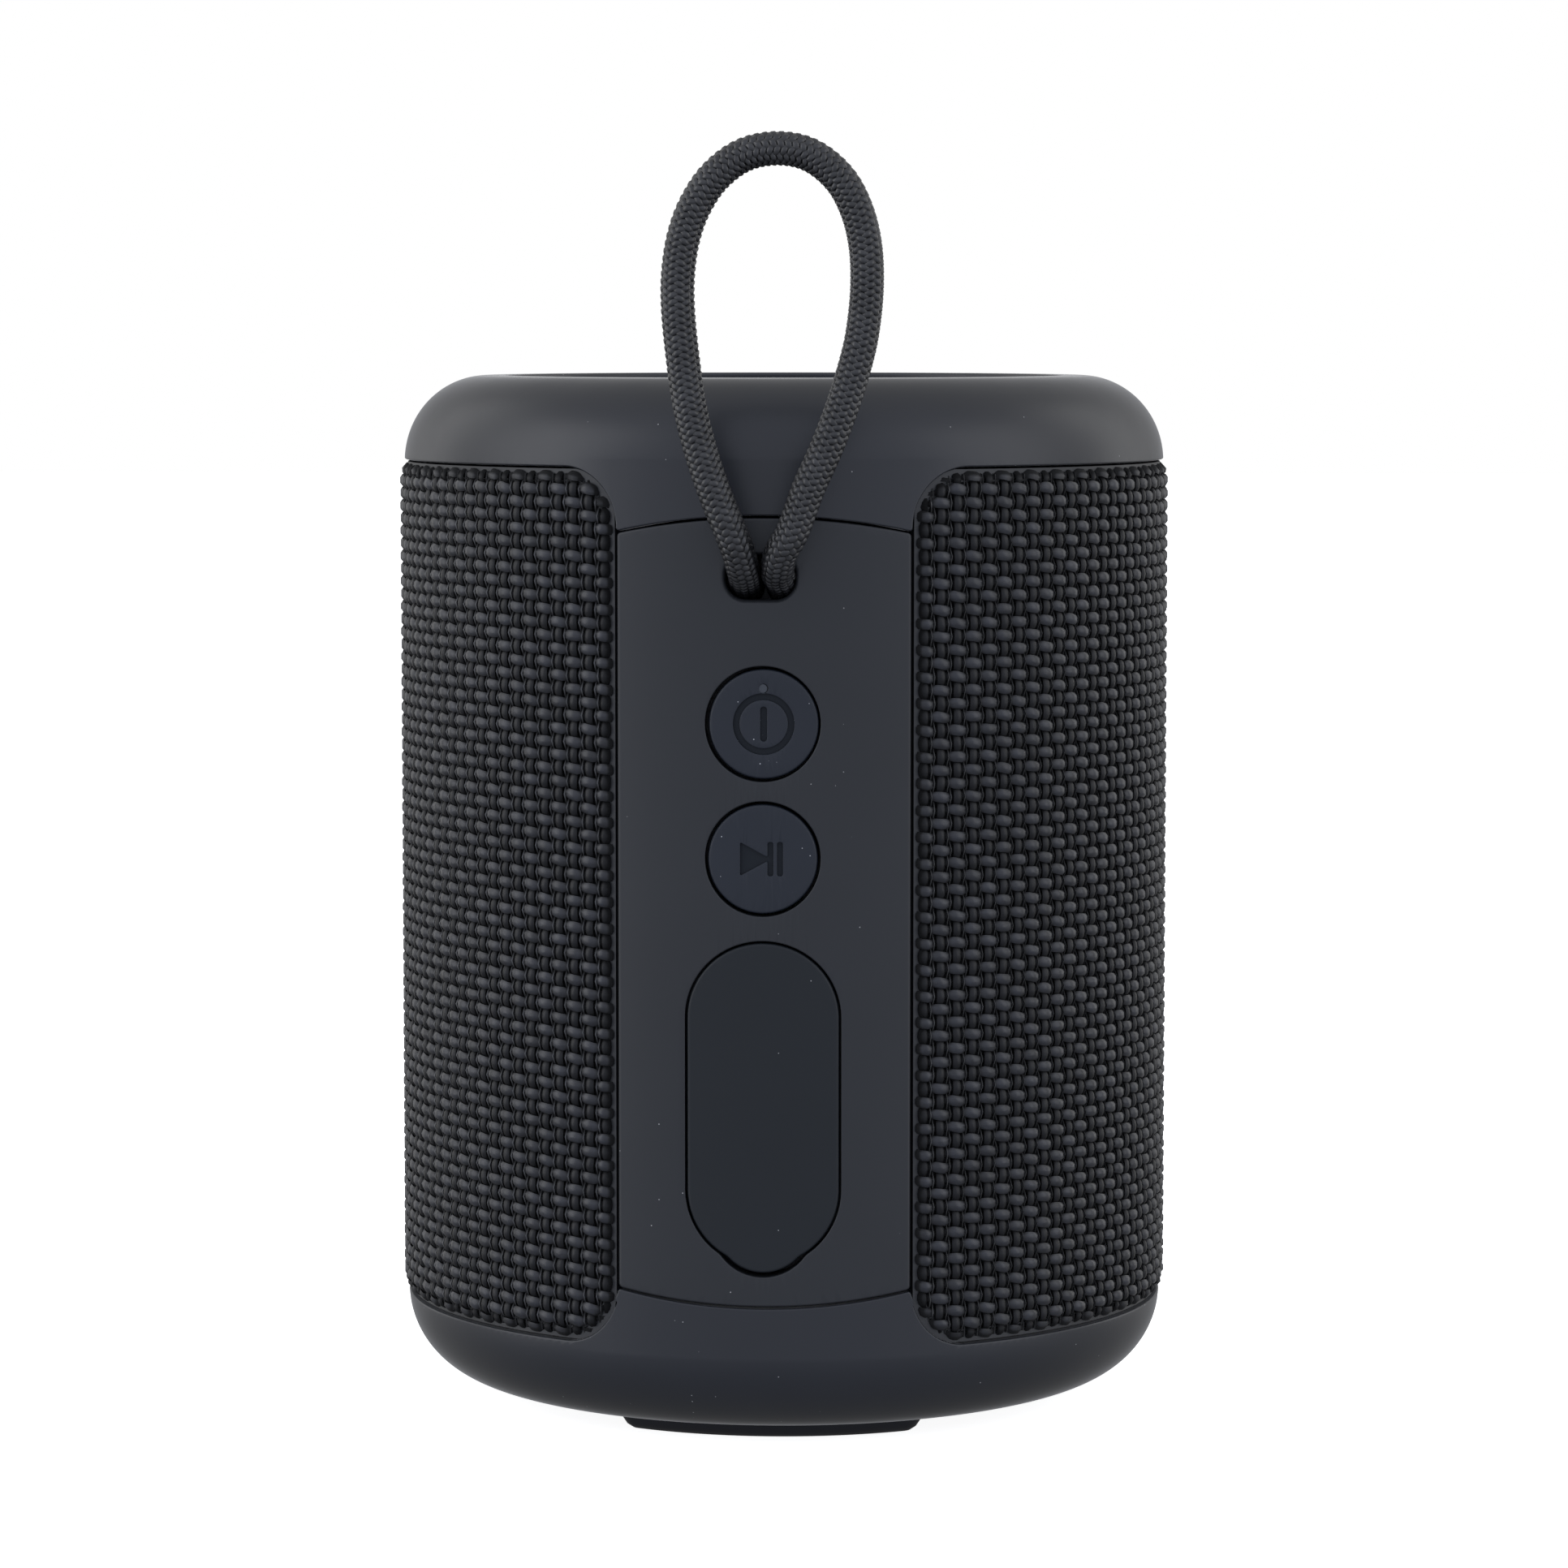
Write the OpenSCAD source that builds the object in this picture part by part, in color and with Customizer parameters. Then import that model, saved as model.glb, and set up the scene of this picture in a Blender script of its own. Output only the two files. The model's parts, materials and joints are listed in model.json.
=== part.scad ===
// Portable speaker: a cylinder wrapped in a woven grille, with rounded caps and
// a control spine that holds two buttons, a port cover and a lanyard loop.
// Millimetres, +Z up, origin on the ground under the middle of the body.
// The control spine faces -Y.

/* [Body] */
// Radius of the caps and the control spine
body_r = 45.4; // [44.8:0.1:45.8]
// Height from the ground to the rim of the top cap
body_h = 122; // [120:0.5:126]
// Thickness of the cap and spine walls
wall = 2.2; // [2:0.1:2.4]
// Radius of the rounded shoulder of the top cap
shoulder_r = 9.8; // [8:0.1:11]
// Radius of the rounded heel of the bottom cap
heel_r = 10.5; // [9:0.1:11]
// Inner radius of the raised rim
rim_r = 33; // [30:0.5:34]
// Depth of the dish inside the rim, down to the trim disc
dish_depth = 1.8; // [1:0.1:2]

/* [Feet] */
// Height of the feet below the bottom cap
foot_h = 2.1; // [1:0.1:3]
// Outer radius of the ring that the feet lie on
foot_r = 34; // [32:0.5:34.5]
// Width of a foot
foot_w = 5.4; // [4:0.1:6]
// Angle that a foot spans
foot_angle = 57; // [40:1:80]

/* [Grille] */
// Outer radius of the grille fabric
grille_r = 46; // [45.9:0.1:46.4]
// Thickness of the grille fabric
fabric_t = 0.9; // [0.6:0.1:0.9]
// Corner radius of the grille panels
corner_r = 6.5; // [5:0.5:7]
// Windows in the grille frame, round the body
frame_columns = 12; // [8:1:16]
// Windows in the grille frame, up the body
frame_rows = 4; // [3:1:5]

/* [Control spine] */
// Half of the angle that the spine spans
spine_angle = 21.7; // [21:0.1:22.5]
// Gap at the seams
seam_gap = 0.25; // [0.15:0.05:0.3]
// Height of the spine's top edge at its middle
spine_top_z = 106.9; // [106:0.1:107.4]
// Height of the spine's bottom edge at its middle
spine_bottom_z = 17.5; // [17:0.1:18]
// Radius of the arched top edge
top_arch_r = 80; // [70:1:100]
// Radius of the arched bottom edge
bottom_arch_r = 89; // [80:1:110]

/* [Buttons] */
// Height of the power button
power_z = 83.7; // [83:0.1:84]
// Height of the play button
play_z = 68.5; // [68:0.1:69]
// Radius of a button
button_r = 6.17; // [6:0.01:6.3]
// Gap round a button
button_gap = 0.33; // [0.3:0.01:0.4]
// Travel of a button
button_travel = 0.6; // [0.4:0.1:0.6]
// Depth of the engraved symbols
engrave = 0.3; // [0.2:0.05:0.5]

/* [Port cover] */
// Width of the port cover
cover_w = 17.2; // [16.8:0.1:17.6]
// Height of its top end
cover_top_z = 59; // [58.5:0.1:59.4]
// Height of its bottom end, without the pull tab
cover_bottom_z = 22.3; // [22:0.1:22.6]
// Height of the line that the cover folds at
hinge_z = 51.4; // [50:0.1:51.6]
// Radius of the pull tab
tab_r = 5.4; // [5:0.1:5.8]
// How far the pull tab stands out
tab_out = 0.8; // [0.6:0.1:1]
// Gap round the cover
cover_gap = 0.25; // [0.2:0.05:0.3]
// Height of the charging socket
usb_z = 31; // [30:0.5:32]
// Height of the audio socket
aux_z = 42.5; // [42:0.5:43]

/* [Lanyard] */
// Diameter of the cord
cord_d = 3.9; // [3.5:0.1:3.9]
// Width of the slot
slot_w = 8.4; // [8.2:0.1:9]
// Height of the slot
slot_h = 5; // [4.8:0.1:5.2]
// Height of the middle of the slot
slot_z = 100.2; // [100:0.1:100.4]

/* [Drivers] */
// Height of the middle of the drivers
driver_z = 62; // [60:0.5:64]
// Radius of a driver's flange
flange_r = 21.9; // [21.5:0.1:22]
// Height of the passive radiator
radiator_h = 64; // [60:1:66]
// Width of the passive radiator
radiator_w = 34; // [32:1:34]

/* [Battery] */
// Diameter of the cell
cell_d = 18.4; // [18:0.1:18.6]
// Length of the cell
cell_l = 65; // [60:1:66]

/* [Hidden] */

$fn = 96;
far = 70;                                     // longer than any cut across the body
inner_r = body_r - wall;                      // inside of the caps and the spine
top_seam_z = body_h - shoulder_r;             // upper edge of the grille
bottom_seam_z = foot_h + heel_r;              // lower edge of the grille
gap_angle = 0.3;                              // half of a side seam, as an angle
corner_angle = corner_r / grille_r * 180 / PI;
dish_z = body_h - dish_depth;                 // top of the trim disc
trim_t = 1.2;
cap_floor = 2.2;
lip_t = 1.4;                                  // lips of the spine, tucked behind the caps
lip_root = 2;
lip_reach = 2.6;
foot_seat = 0.5;                              // depth of the groove that a foot sits in
left_side = -1;
right_side = 1;

frame_r = grille_r - fabric_t - 0.1;          // outside of the grille frame
frame_inner_r = body_r - wall - 0.1;

chassis_r = 41.5;
chassis_x = 34;                               // seats of the drivers
chassis_front = -26;
chassis_back = 36;
chassis_wall = 2.2;
base_z = 14.6;
base_t = 2.4;
gasket_t = 0.6;
chassis_z = base_z + base_t + gasket_t;
chassis_top = 108;
top_screw_r = 26;
bottom_screw_r = foot_r - foot_w / 2;
post_r = 3;

board_front = -34.6;
board_t = 1.6;
board_w = 30;
board_z = [22.5, 93];
board_hole_z = [27, 90];
switch_face = -38;
plunger_end = -39;
plunger_r = 1.7;
stem_end = -39.1;
stem_r = 1.5;
flange_y = -42.2;                             // front of a button's flange
guide_front = -40.4;
light_z = power_z + 4;
light_r = 0.5;

guide_z = [63.9, 90.9];
guide_post_x = 10.4;
guide_post_z = [65.9, 88.9];
bezel_front = -41.2;
bezel_t = 2;
bezel_z = [21.3, 60.9];
bezel_post_x = 9.8;
bezel_post_z = [23.4, 59.2];
cover_back = -41.6;
cover_skin_y = -43.4;                         // back of the cover's outer skin
anchor_pin_z = 55.2;
socket_face = -41;
aux_bore_r = 1.8;
aux_depth = 13.2;

clamp_y = [-38.5, chassis_front];
clamp_z = [94.5, 103.4];
clamp_screw_x = 5.8;
clamp_screw_y = -28.6;                        // seat of the screw heads in the clamp
board_screw_x = 12.6;
screw_reach = 20.1;                           // of a driver's screws, from its middle
radiator_screw = [15.2, 22];                  // of the radiator's screws, from its middle
tail_z = 98.8;
cord_sides = 8;

cradle_y = -6;                                // middle of the battery
cell_z = 29;
lead_r = 0.6;
lead_pitch = 1.7;                             // between the two wires of a lead
lead_y = -21.5;                               // where the leads run behind the front wall
driver_hole_x = 12;
driver_hole_z = 44;
battery_hole_z = 91;
board_back = board_front + board_t;

cone_top = [14.6, 35.5];                      // radius and height in the driver's own frame
cone_neck = [5.5, 29.2];
cone_t = 0.6;

// Route of the loop outside the slot, from the left leg round to the right leg.
loop_route = [
    [-2.05, -45.8, 100.8], [-2.2, -47.6, 101.8], [-2.6, -49.3, 103.6], [-3.4, -50.3, 105.8],
    [-4.3, -50.7, 108], [-5.6, -50.8, 111.5], [-6.7, -50.7, 115], [-7.8, -50.4, 119.5],
    [-8.6, -50, 125], [-9.1, -49.6, 130], [-9.1, -49.3, 134], [-8.5, -49, 138],
    [-7.2, -48.8, 141.5], [-5, -48.6, 144.7], [-1.8, -48.5, 147], [2, -48.5, 147.7],
    [5.6, -48.5, 146.9], [8.7, -48.6, 144.4], [10.6, -48.8, 141], [11.6, -49, 137],
    [11.8, -49.3, 132.5], [11.4, -49.7, 128], [10.7, -50.1, 124.5], [9.2, -50.4, 119.5],
    [7.3, -50.7, 114.5], [5.5, -50.8, 110.5], [4.4, -50.7, 107.5], [3.4, -50.3, 105],
    [2.6, -49.3, 103.2], [2.2, -47.6, 101.7], [2.05, -45.8, 100.8]
];
// Route of one tail, from the slot in to the bottom of its bore in the clamp.
tail_route = [
    [2.05, -45.4, 100.6], [2.05, -43, 99.7], [2.05, -40.5, 99], [2.05, -38, tail_z], [2.05, -31, tail_z]
];

cap_color = "#35383e";
spine_color = "#2b2d31";
button_color = "#232830";
rubber_color = "#1f2429";
fabric_color = "#1c1e23";
cord_color = "#15171a";
frame_color = "#202226";
steel_color = "#8b8f94";

// ---------- shared shapes ----------

// Part of a ring between two angles. Angle 0 is the front, and it grows towards +X.
module ring_sector(r1, r2, z1, z2, a1, a2) {
    rotate([0, 0, 270 + a1])
        rotate_extrude(angle = a2 - a1)
            translate([r1, z1]) square([r2 - r1, z2 - z1]);
}

// Straight run along -Y, from y1 (nearer the middle) out to y2, of a drawing in the XZ plane.
module forward(y1, y2) {
    translate([0, y1, 0]) rotate([90, 0, 0]) linear_extrude(height = y1 - y2) children();
}

// Upright stadium, centred on the origin.
module stadium(w, h) {
    square([w, h - w], center = true);
    for (s = [-1, 1]) translate([0, s * (h - w) / 2]) circle(r = w / 2);
}

// Rectangle with rounded corners, centred on the origin.
module rounded_rect(w, h, r) {
    square([w - 2 * r, h], center = true);
    square([w, h - 2 * r], center = true);
    for (x = [-1, 1], z = [-1, 1]) translate([x * (w / 2 - r), z * (h / 2 - r)]) circle(r = r);
}

// Round post that points along -Y.
module post(x, z, r, y1, y2) {
    translate([x, 0, z]) forward(y1, y2) circle(r = r);
}

// The piece of a cap that fills a rounded corner of the grille. up is 1 at the top seam.
module corner_web(r1, r2, side, up) {
    seam_z = up > 0 ? top_seam_z : bottom_seam_z;
    tip_z = seam_z - up * (corner_r - 0.3);
    root_z = seam_z + up * 0.4;
    a1 = spine_angle - gap_angle - 0.3;
    a2 = spine_angle + corner_angle;
    mirror([side > 0 ? 0 : 1, 0, 0]) difference() {
        ring_sector(r1, r2, min(tip_z, root_z), max(tip_z, root_z), a1, a2);
        rotate([0, 0, a2]) post(0, seam_z - up * corner_r, corner_r, 0, -far);
    }
}

// Both corner webs of a seam.
module corner_webs(r1, r2, up) {
    for (side = [left_side, right_side]) corner_web(r1, r2, side, up);
}

// Round tube swept along a route, with flat ends.
function direction(route, i) =
    let (a = route[max(i - 1, 0)], b = route[min(i + 1, len(route) - 1)]) (b - a) / norm(b - a);
function swept_ring(p, d, r, sides) =
    let (side_way = cross(d, [0, 1, 0.3]), u = side_way / norm(side_way), v = cross(d, u))
    [for (k = [0 : sides - 1]) p + r * (cos(360 * k / sides) * u + sin(360 * k / sides) * v)];

module tube_along(route, r, sides) {
    n = len(route);
    points = [for (i = [0 : n - 1]) each swept_ring(route[i], direction(route, i), r, sides)];
    walls = [for (i = [0 : n - 2], k = [0 : sides - 1])
        [i * sides + k, i * sides + (k + 1) % sides, (i + 1) * sides + (k + 1) % sides, (i + 1) * sides + k]];
    first_end = [for (k = [0 : sides - 1]) sides - 1 - k];
    last_end = [for (k = [0 : sides - 1]) (n - 1) * sides + k];
    polyhedron(points = points, faces = concat(walls, [first_end, last_end]));
}

// Wire of straight runs with round joints.
module wire(route, r) {
    for (i = [0 : len(route) - 2]) {
        run = route[i + 1] - route[i];
        translate(route[i])
            rotate([0, acos(run[2] / norm(run)), atan2(run[1], run[0])])
                cylinder(r = r, h = norm(run), $fn = 24);
    }
    for (i = [1 : len(route) - 2]) translate(route[i]) sphere(r = r, $fn = 24);
}

// Small pan-head screw that points down, with its head's underside at z = 0.
module pan_screw() {
    cylinder(r = 1.4, h = 1.1, $fn = 32);
    translate([0, 0, -4]) cylinder(r = 0.85, h = 4.2, $fn = 24);
}

// Countersunk screw that points down, with its head flush at z = 0.
module flat_screw(length) {
    translate([0, 0, -1.3]) cylinder(r1 = 1.2, r2 = 2.4, h = 1.3, $fn = 32);
    translate([0, 0, -length]) cylinder(r = 1.2, h = length - 1, $fn = 32);
}

module flat_screw_hole() {
    translate([0, 0, -1.4]) cylinder(r1 = 1.2, r2 = 2.6, h = 1.5, $fn = 32);
    translate([0, 0, -4]) cylinder(r = 1.4, h = 4, $fn = 32);
}

// ---------- caps, spine and grille ----------

// What a cap's wall gives up to the grille on both sides of the spine. up is 1 at the top seam.
module wall_cuts(up) {
    seam_z = up > 0 ? top_seam_z : bottom_seam_z;
    gap_z = seam_z + up * seam_gap;
    tip_z = seam_z - up * (corner_r - 0.3);
    end_z = seam_z - up * 10;
    edge = spine_angle - gap_angle;
    side = spine_angle + corner_angle;
    ring_sector(inner_r - 1, body_r + 1, min(end_z, gap_z), max(end_z, gap_z), side, 360 - side);
    for (m = [0, 1]) mirror([m, 0, 0]) {
        ring_sector(inner_r - 1, body_r + 1, min(end_z, tip_z), max(end_z, tip_z), edge, side + 1);
        rotate([0, 0, side]) post(0, seam_z - up * corner_r, corner_r, 3 - inner_r, -far);
    }
}

module top_profile() {
    shoulder_x = body_r - shoulder_r;
    difference() {
        union() {
            translate([inner_r, spine_top_z - 3]) square([wall, top_seam_z - spine_top_z + 3]);
            translate([0, top_seam_z]) square([shoulder_x, shoulder_r]);
            intersection() {
                translate([shoulder_x, top_seam_z]) circle(r = shoulder_r);
                translate([shoulder_x - 0.1, top_seam_z]) square([shoulder_r + 1, shoulder_r + 1]);
            }
        }
        difference() {
            union() {
                translate([-1, top_seam_z - 1]) square([shoulder_x + 1, shoulder_r - wall + 1]);
                intersection() {
                    translate([shoulder_x, top_seam_z]) circle(r = shoulder_r - wall);
                    translate([shoulder_x - 0.1, top_seam_z]) square([shoulder_r + 1, shoulder_r + 1]);
                }
            }
            translate([-1, dish_z - trim_t - cap_floor]) square([rim_r + wall + 1, far]);
        }
        translate([-1, dish_z - trim_t]) square([rim_r + 1, far]);
    }
}

module top_cap() color(cap_color) difference() {
    rotate_extrude($fn = 180) top_profile();
    wall_cuts(1);
    translate([0, 0, spine_top_z - top_arch_r + seam_gap / 2])
        forward(-30, -far) circle(r = top_arch_r, $fn = 180);
    for (a = [60, 180, 300])
        rotate([0, 0, a]) translate([0, -top_screw_r, dish_z - trim_t]) flat_screw_hole();
}

module top_trim() color(cap_color)
    translate([0, 0, dish_z - trim_t]) rotate_extrude($fn = 180) {
        square([rim_r - 0.8, trim_t]);
        square([rim_r - 0.2, trim_t - 0.6]);
        translate([rim_r - 0.8, trim_t - 0.6]) circle(r = 0.6, $fn = 32);
    }

module bottom_profile() {
    heel_x = body_r - heel_r;
    difference() {
        union() {
            translate([inner_r, bottom_seam_z]) square([wall, spine_bottom_z + 3 - bottom_seam_z]);
            translate([0, foot_h]) square([heel_x, heel_r]);
            intersection() {
                translate([heel_x, bottom_seam_z]) circle(r = heel_r);
                translate([heel_x - 0.1, foot_h - 1]) square([heel_r + 1, heel_r + 1]);
            }
        }
        translate([-1, foot_h + wall]) square([heel_x + 1, heel_r - wall]);
        intersection() {
            translate([heel_x, bottom_seam_z]) circle(r = heel_r - wall);
            translate([heel_x - 0.1, foot_h - 1]) square([heel_r + 1, heel_r + 1]);
        }
    }
}

module bottom_cap() color(cap_color) difference() {
    rotate_extrude($fn = 180) bottom_profile();
    wall_cuts(-1);
    translate([0, 0, spine_bottom_z + bottom_arch_r - seam_gap / 2])
        forward(-30, -far) circle(r = bottom_arch_r, $fn = 180);
    for (a = [0, 120, 240]) rotate([0, 0, a]) {
        foot_shape(foot_h - 1, 1 + foot_seat);
        translate([0, -bottom_screw_r, foot_h + foot_seat]) mirror([0, 0, 1]) flat_screw_hole();
    }
}

// Arc with round ends, from height z upwards.
module foot_shape(z, h) {
    mid_r = foot_r - foot_w / 2;
    ring_sector(foot_r - foot_w, foot_r, z, z + h, -foot_angle / 2, foot_angle / 2);
    for (s = [-1, 1])
        rotate([0, 0, s * foot_angle / 2])
            translate([0, -mid_r, z]) cylinder(r = foot_w / 2, h = h, $fn = 48);
}

module foot(a) color(rubber_color) rotate([0, 0, a]) foot_shape(0, foot_h + foot_seat);
module foot_front() foot(0);
module foot_right() foot(120);
module foot_left() foot(240);

module slot_shape() translate([0, slot_z]) rounded_rect(slot_w, slot_h, 2);

// Outline of the port cover with its pull tab, grown by a gap.
module cover_outline(gap) {
    w = cover_w + 2 * gap;
    h = cover_top_z - cover_bottom_z + 2 * gap;
    translate([0, (cover_top_z + cover_bottom_z) / 2]) stadium(w, h);
    translate([0, cover_bottom_z - tab_out + tab_r]) circle(r = tab_r + 2 * gap);
}

module spine_panel() color(spine_color) difference() {
    union() {
        intersection() {
            ring_sector(inner_r, body_r, 0, body_h, -spine_angle + gap_angle, spine_angle - gap_angle);
            spine_outline(0);
        }
        intersection() {
            difference() {
                ring_sector(inner_r - lip_t, inner_r + 0.2, 0, body_h, -spine_angle + 2, spine_angle - 2);
                difference() {
                    ring_sector(inner_r - 0.1, inner_r + 1, -1, body_h + 1, -spine_angle, spine_angle);
                    spine_outline(0);
                }
            }
            spine_outline(lip_reach);
            difference() {
                forward(-30, -far) translate([-far, 0]) square([2 * far, body_h]);
                spine_outline(-lip_root);
            }
        }
        for (x = [-1, 1], z = guide_post_z)
            post(x * guide_post_x, z, 1.1, guide_front + 1.4, -inner_r * 0.99);
        for (x = [-1, 1], z = bezel_post_z)
            post(x * bezel_post_x, z, 1, bezel_front + bezel_t, -inner_r * 0.99);
    }
    for (z = [power_z, play_z]) post(0, z, button_r + button_gap, -30, -far);
    forward(-30, -far) slot_shape();
    forward(-30, -far) cover_outline(cover_gap);
}

// Solid between the two arched seams, grown by more than 0 at each end.
module spine_outline(more) {
    forward(-30, -far) intersection() {
        translate([0, spine_top_z - seam_gap / 2 - top_arch_r])
            circle(r = top_arch_r + more, $fn = 180);
        translate([0, spine_bottom_z + seam_gap / 2 + bottom_arch_r])
            circle(r = bottom_arch_r + more, $fn = 180);
    }
}

module grille_frame() color(frame_color) {
    z1 = bottom_seam_z + 0.1;
    z2 = top_seam_z - 0.1;
    row_h = (z2 - z1) / frame_rows;
    column_a = (360 - 2 * spine_angle) / frame_columns;
    rib = 3;
    difference() {
        ring_sector(frame_inner_r, frame_r, z1, z2, spine_angle + gap_angle, 360 - spine_angle - gap_angle);
        corner_webs(frame_inner_r - 1, frame_r + 1, 1);
        corner_webs(frame_inner_r - 1, frame_r + 1, -1);
        for (c = [0 : frame_columns - 1], k = [0 : frame_rows - 1])
            ring_sector(frame_inner_r - 1, frame_r + 1,
                z1 + k * row_h + corner_r * 0.6, z1 + (k + 1) * row_h - corner_r * 0.6,
                spine_angle + c * column_a + rib, spine_angle + (c + 1) * column_a - rib);
    }
}

module grille_fabric() color(fabric_color) difference() {
    ring_sector(grille_r - fabric_t, grille_r, bottom_seam_z + 0.1, top_seam_z - 0.1,
        spine_angle + gap_angle, 360 - spine_angle - gap_angle);
    corner_webs(grille_r - 3, grille_r + 1, 1);
    corner_webs(grille_r - 3, grille_r + 1, -1);
}

// ---------- buttons and switches ----------

module power_symbol() {
    difference() {
        circle(r = 3.4);
        circle(r = 2.7);
    }
    rounded_rect(0.78, 3.87, 0.38);
}

module play_symbol() {
    polygon([[-2.45, -1.85], [0.75, -0.1], [0.75, 0.1], [-2.45, 1.85]]);
    for (x = [1, 2.05]) translate([x, 0]) rounded_rect(0.72, 3.8, 0.35);
}

// Button at height z, with the engraved symbol given as a child.
module button(z) color(button_color) difference() {
    union() {
        intersection() {
            post(0, z, button_r, flange_y + 0.1, -far);
            cylinder(r = body_r - 0.1, h = body_h, $fn = 180);
        }
        post(0, z, button_r + 1.2, flange_y + 1, flange_y);
        post(0, z, stem_r, stem_end, flange_y + 0.5);
    }
    translate([0, 0, z]) forward(-body_r + 0.1 + engrave, -far) children();
}

module power_button() difference() {
    button(power_z) power_symbol();
    post(0, light_z, light_r + 0.02, -30, -far);
}

module play_button() button(play_z) play_symbol();

module power_light_guide() color("#c9cdd2")
    post(0, light_z, light_r, guide_front + 0.1 - button_travel, -body_r + 0.2);

module button_guide() color(frame_color) difference() {
    translate([0, 0, (guide_z[0] + guide_z[1]) / 2])
        forward(guide_front + 1, guide_front) rounded_rect(25, guide_z[1] - guide_z[0], 2);
    for (z = [power_z, play_z]) post(0, z, stem_r + 0.05, -30, -far);
    post(0, light_z, light_r + 0.5, -30, -far);
    for (x = [-1, 1], z = guide_post_z) post(x * guide_post_x, z, 1.15, -30, -far);
}

module switch_body(z) color("#3a3d42") difference() {
    translate([0, 0, z]) forward(board_front, switch_face) square(6.2, center = true);
    post(0, z, plunger_r + 0.08, switch_face + 2.2, -far);
}

module switch_plunger(z) color("#b9a98c") post(0, z, plunger_r, switch_face + 1.4, plunger_end);

module power_switch() switch_body(power_z);
module power_switch_plunger() switch_plunger(power_z);
module play_switch() switch_body(play_z);
module play_switch_plunger() switch_plunger(play_z);

module status_light() color("#e8eef5")
    translate([0, 0, light_z]) forward(board_front, board_front - 1) square([1.6, 0.8], center = true);

// ---------- port cover and sockets ----------

module port_bezel() color(frame_color) difference() {
    translate([0, 0, (bezel_z[0] + bezel_z[1]) / 2])
        forward(bezel_front + bezel_t, bezel_front) rounded_rect(23, bezel_z[1] - bezel_z[0], 3);
    translate([0, 0, usb_z]) forward(-30, -far) rounded_rect(9.6, 3.9, 1.9);
    post(0, aux_z, 3.1, -30, -far);
    post(0, anchor_pin_z, 1.7, -30, -far);
    for (x = [-1, 1], z = bezel_post_z) post(x * bezel_post_x, z, 1.05, -30, -far);
}

// The stretch of the cover between two heights: outer skin and the seal rib behind it.
module cover_body(z1, z2) {
    intersection() {
        union() {
            intersection() {
                forward(cover_skin_y, -far) cover_outline(0);
                cylinder(r = body_r, h = body_h, $fn = 180);
            }
            forward(cover_back, cover_skin_y - 0.2) intersection() {
                translate([0, (cover_top_z + cover_bottom_z) / 2])
                    stadium(cover_w - 3, cover_top_z - cover_bottom_z - 3);
                translate([-far, z1 + 1]) square([2 * far, z2 - z1 - 2]);
            }
        }
        translate([-far / 2, -far, z1]) cube([far, far, z2 - z1]);
    }
}

module port_cover() color(rubber_color) union() {
    cover_body(0, hinge_z - 0.2);
    translate([0, 0, usb_z]) forward(socket_face + 0.6, cover_back - 0.1) rounded_rect(7.6, 1.9, 0.9);
}

module port_cover_anchor() color(rubber_color) union() {
    cover_body(hinge_z + 0.2, cover_top_z + 1);
    post(0, anchor_pin_z, 1.6, bezel_front + bezel_t + 0.4, cover_back - 0.1);
    post(0, anchor_pin_z, 2.4, bezel_front + bezel_t + 1.2, bezel_front + bezel_t + 0.1);
}

module usb_socket() color(steel_color) translate([0, 0, usb_z]) {
    forward(board_front, socket_face) difference() {
        rounded_rect(8.94, 3.26, 1.6);
        rounded_rect(8.34, 2.66, 1.3);
    }
    forward(board_front, board_front - 0.5) rounded_rect(8.9, 3.2, 1.5);
    forward(board_front - 0.2, socket_face + 0.9) square([6.7, 0.7], center = true);
}

module aux_socket() color("#2a2b2e") difference() {
    union() {
        post(0, aux_z, 3, socket_face + 2.6, socket_face);
        translate([0, 0, aux_z])
            forward(socket_face + aux_depth + 0.4, socket_face + 2.5) square(7, center = true);
    }
    post(0, aux_z, aux_bore_r, socket_face + aux_depth, -far);
}

// ---------- lanyard ----------

module lanyard_loop() color(cord_color) tube_along(loop_route, cord_d / 2, cord_sides);

module lanyard_tails() color(cord_color)
    for (side = [left_side, right_side])
        tube_along([for (p = tail_route) [p[0] * side, p[1], p[2]]], cord_d / 2, cord_sides);

module lanyard_clamp() color(frame_color) difference() {
    translate([-7.5, clamp_y[0], clamp_z[0]]) cube([15, clamp_y[1] - clamp_y[0], clamp_z[1] - clamp_z[0]]);
    for (x = [-2.05, 2.05]) post(x, tail_z, cord_d / 2 + 0.02, -31, -far);
    for (x = [-clamp_screw_x, clamp_screw_x]) post(x, tail_z, 0.9, chassis_front + 1, -far);
    for (x = [-clamp_screw_x, clamp_screw_x]) post(x, tail_z, 1.5, clamp_screw_y, -far);
}

// ---------- chassis ----------

module chassis_outline(inset) {
    intersection() {
        circle(r = chassis_r - inset, $fn = 180);
        translate([-chassis_x + inset, chassis_front + inset])
            square([2 * (chassis_x - inset), chassis_back - chassis_front - 2 * inset]);
    }
}

// Drawing in the local XY plane, carried to a driver's seat with +Z pointing outwards.
module at_driver(side) {
    translate([0, 0, driver_z]) rotate([0, side * 90, 0]) children();
}

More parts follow.
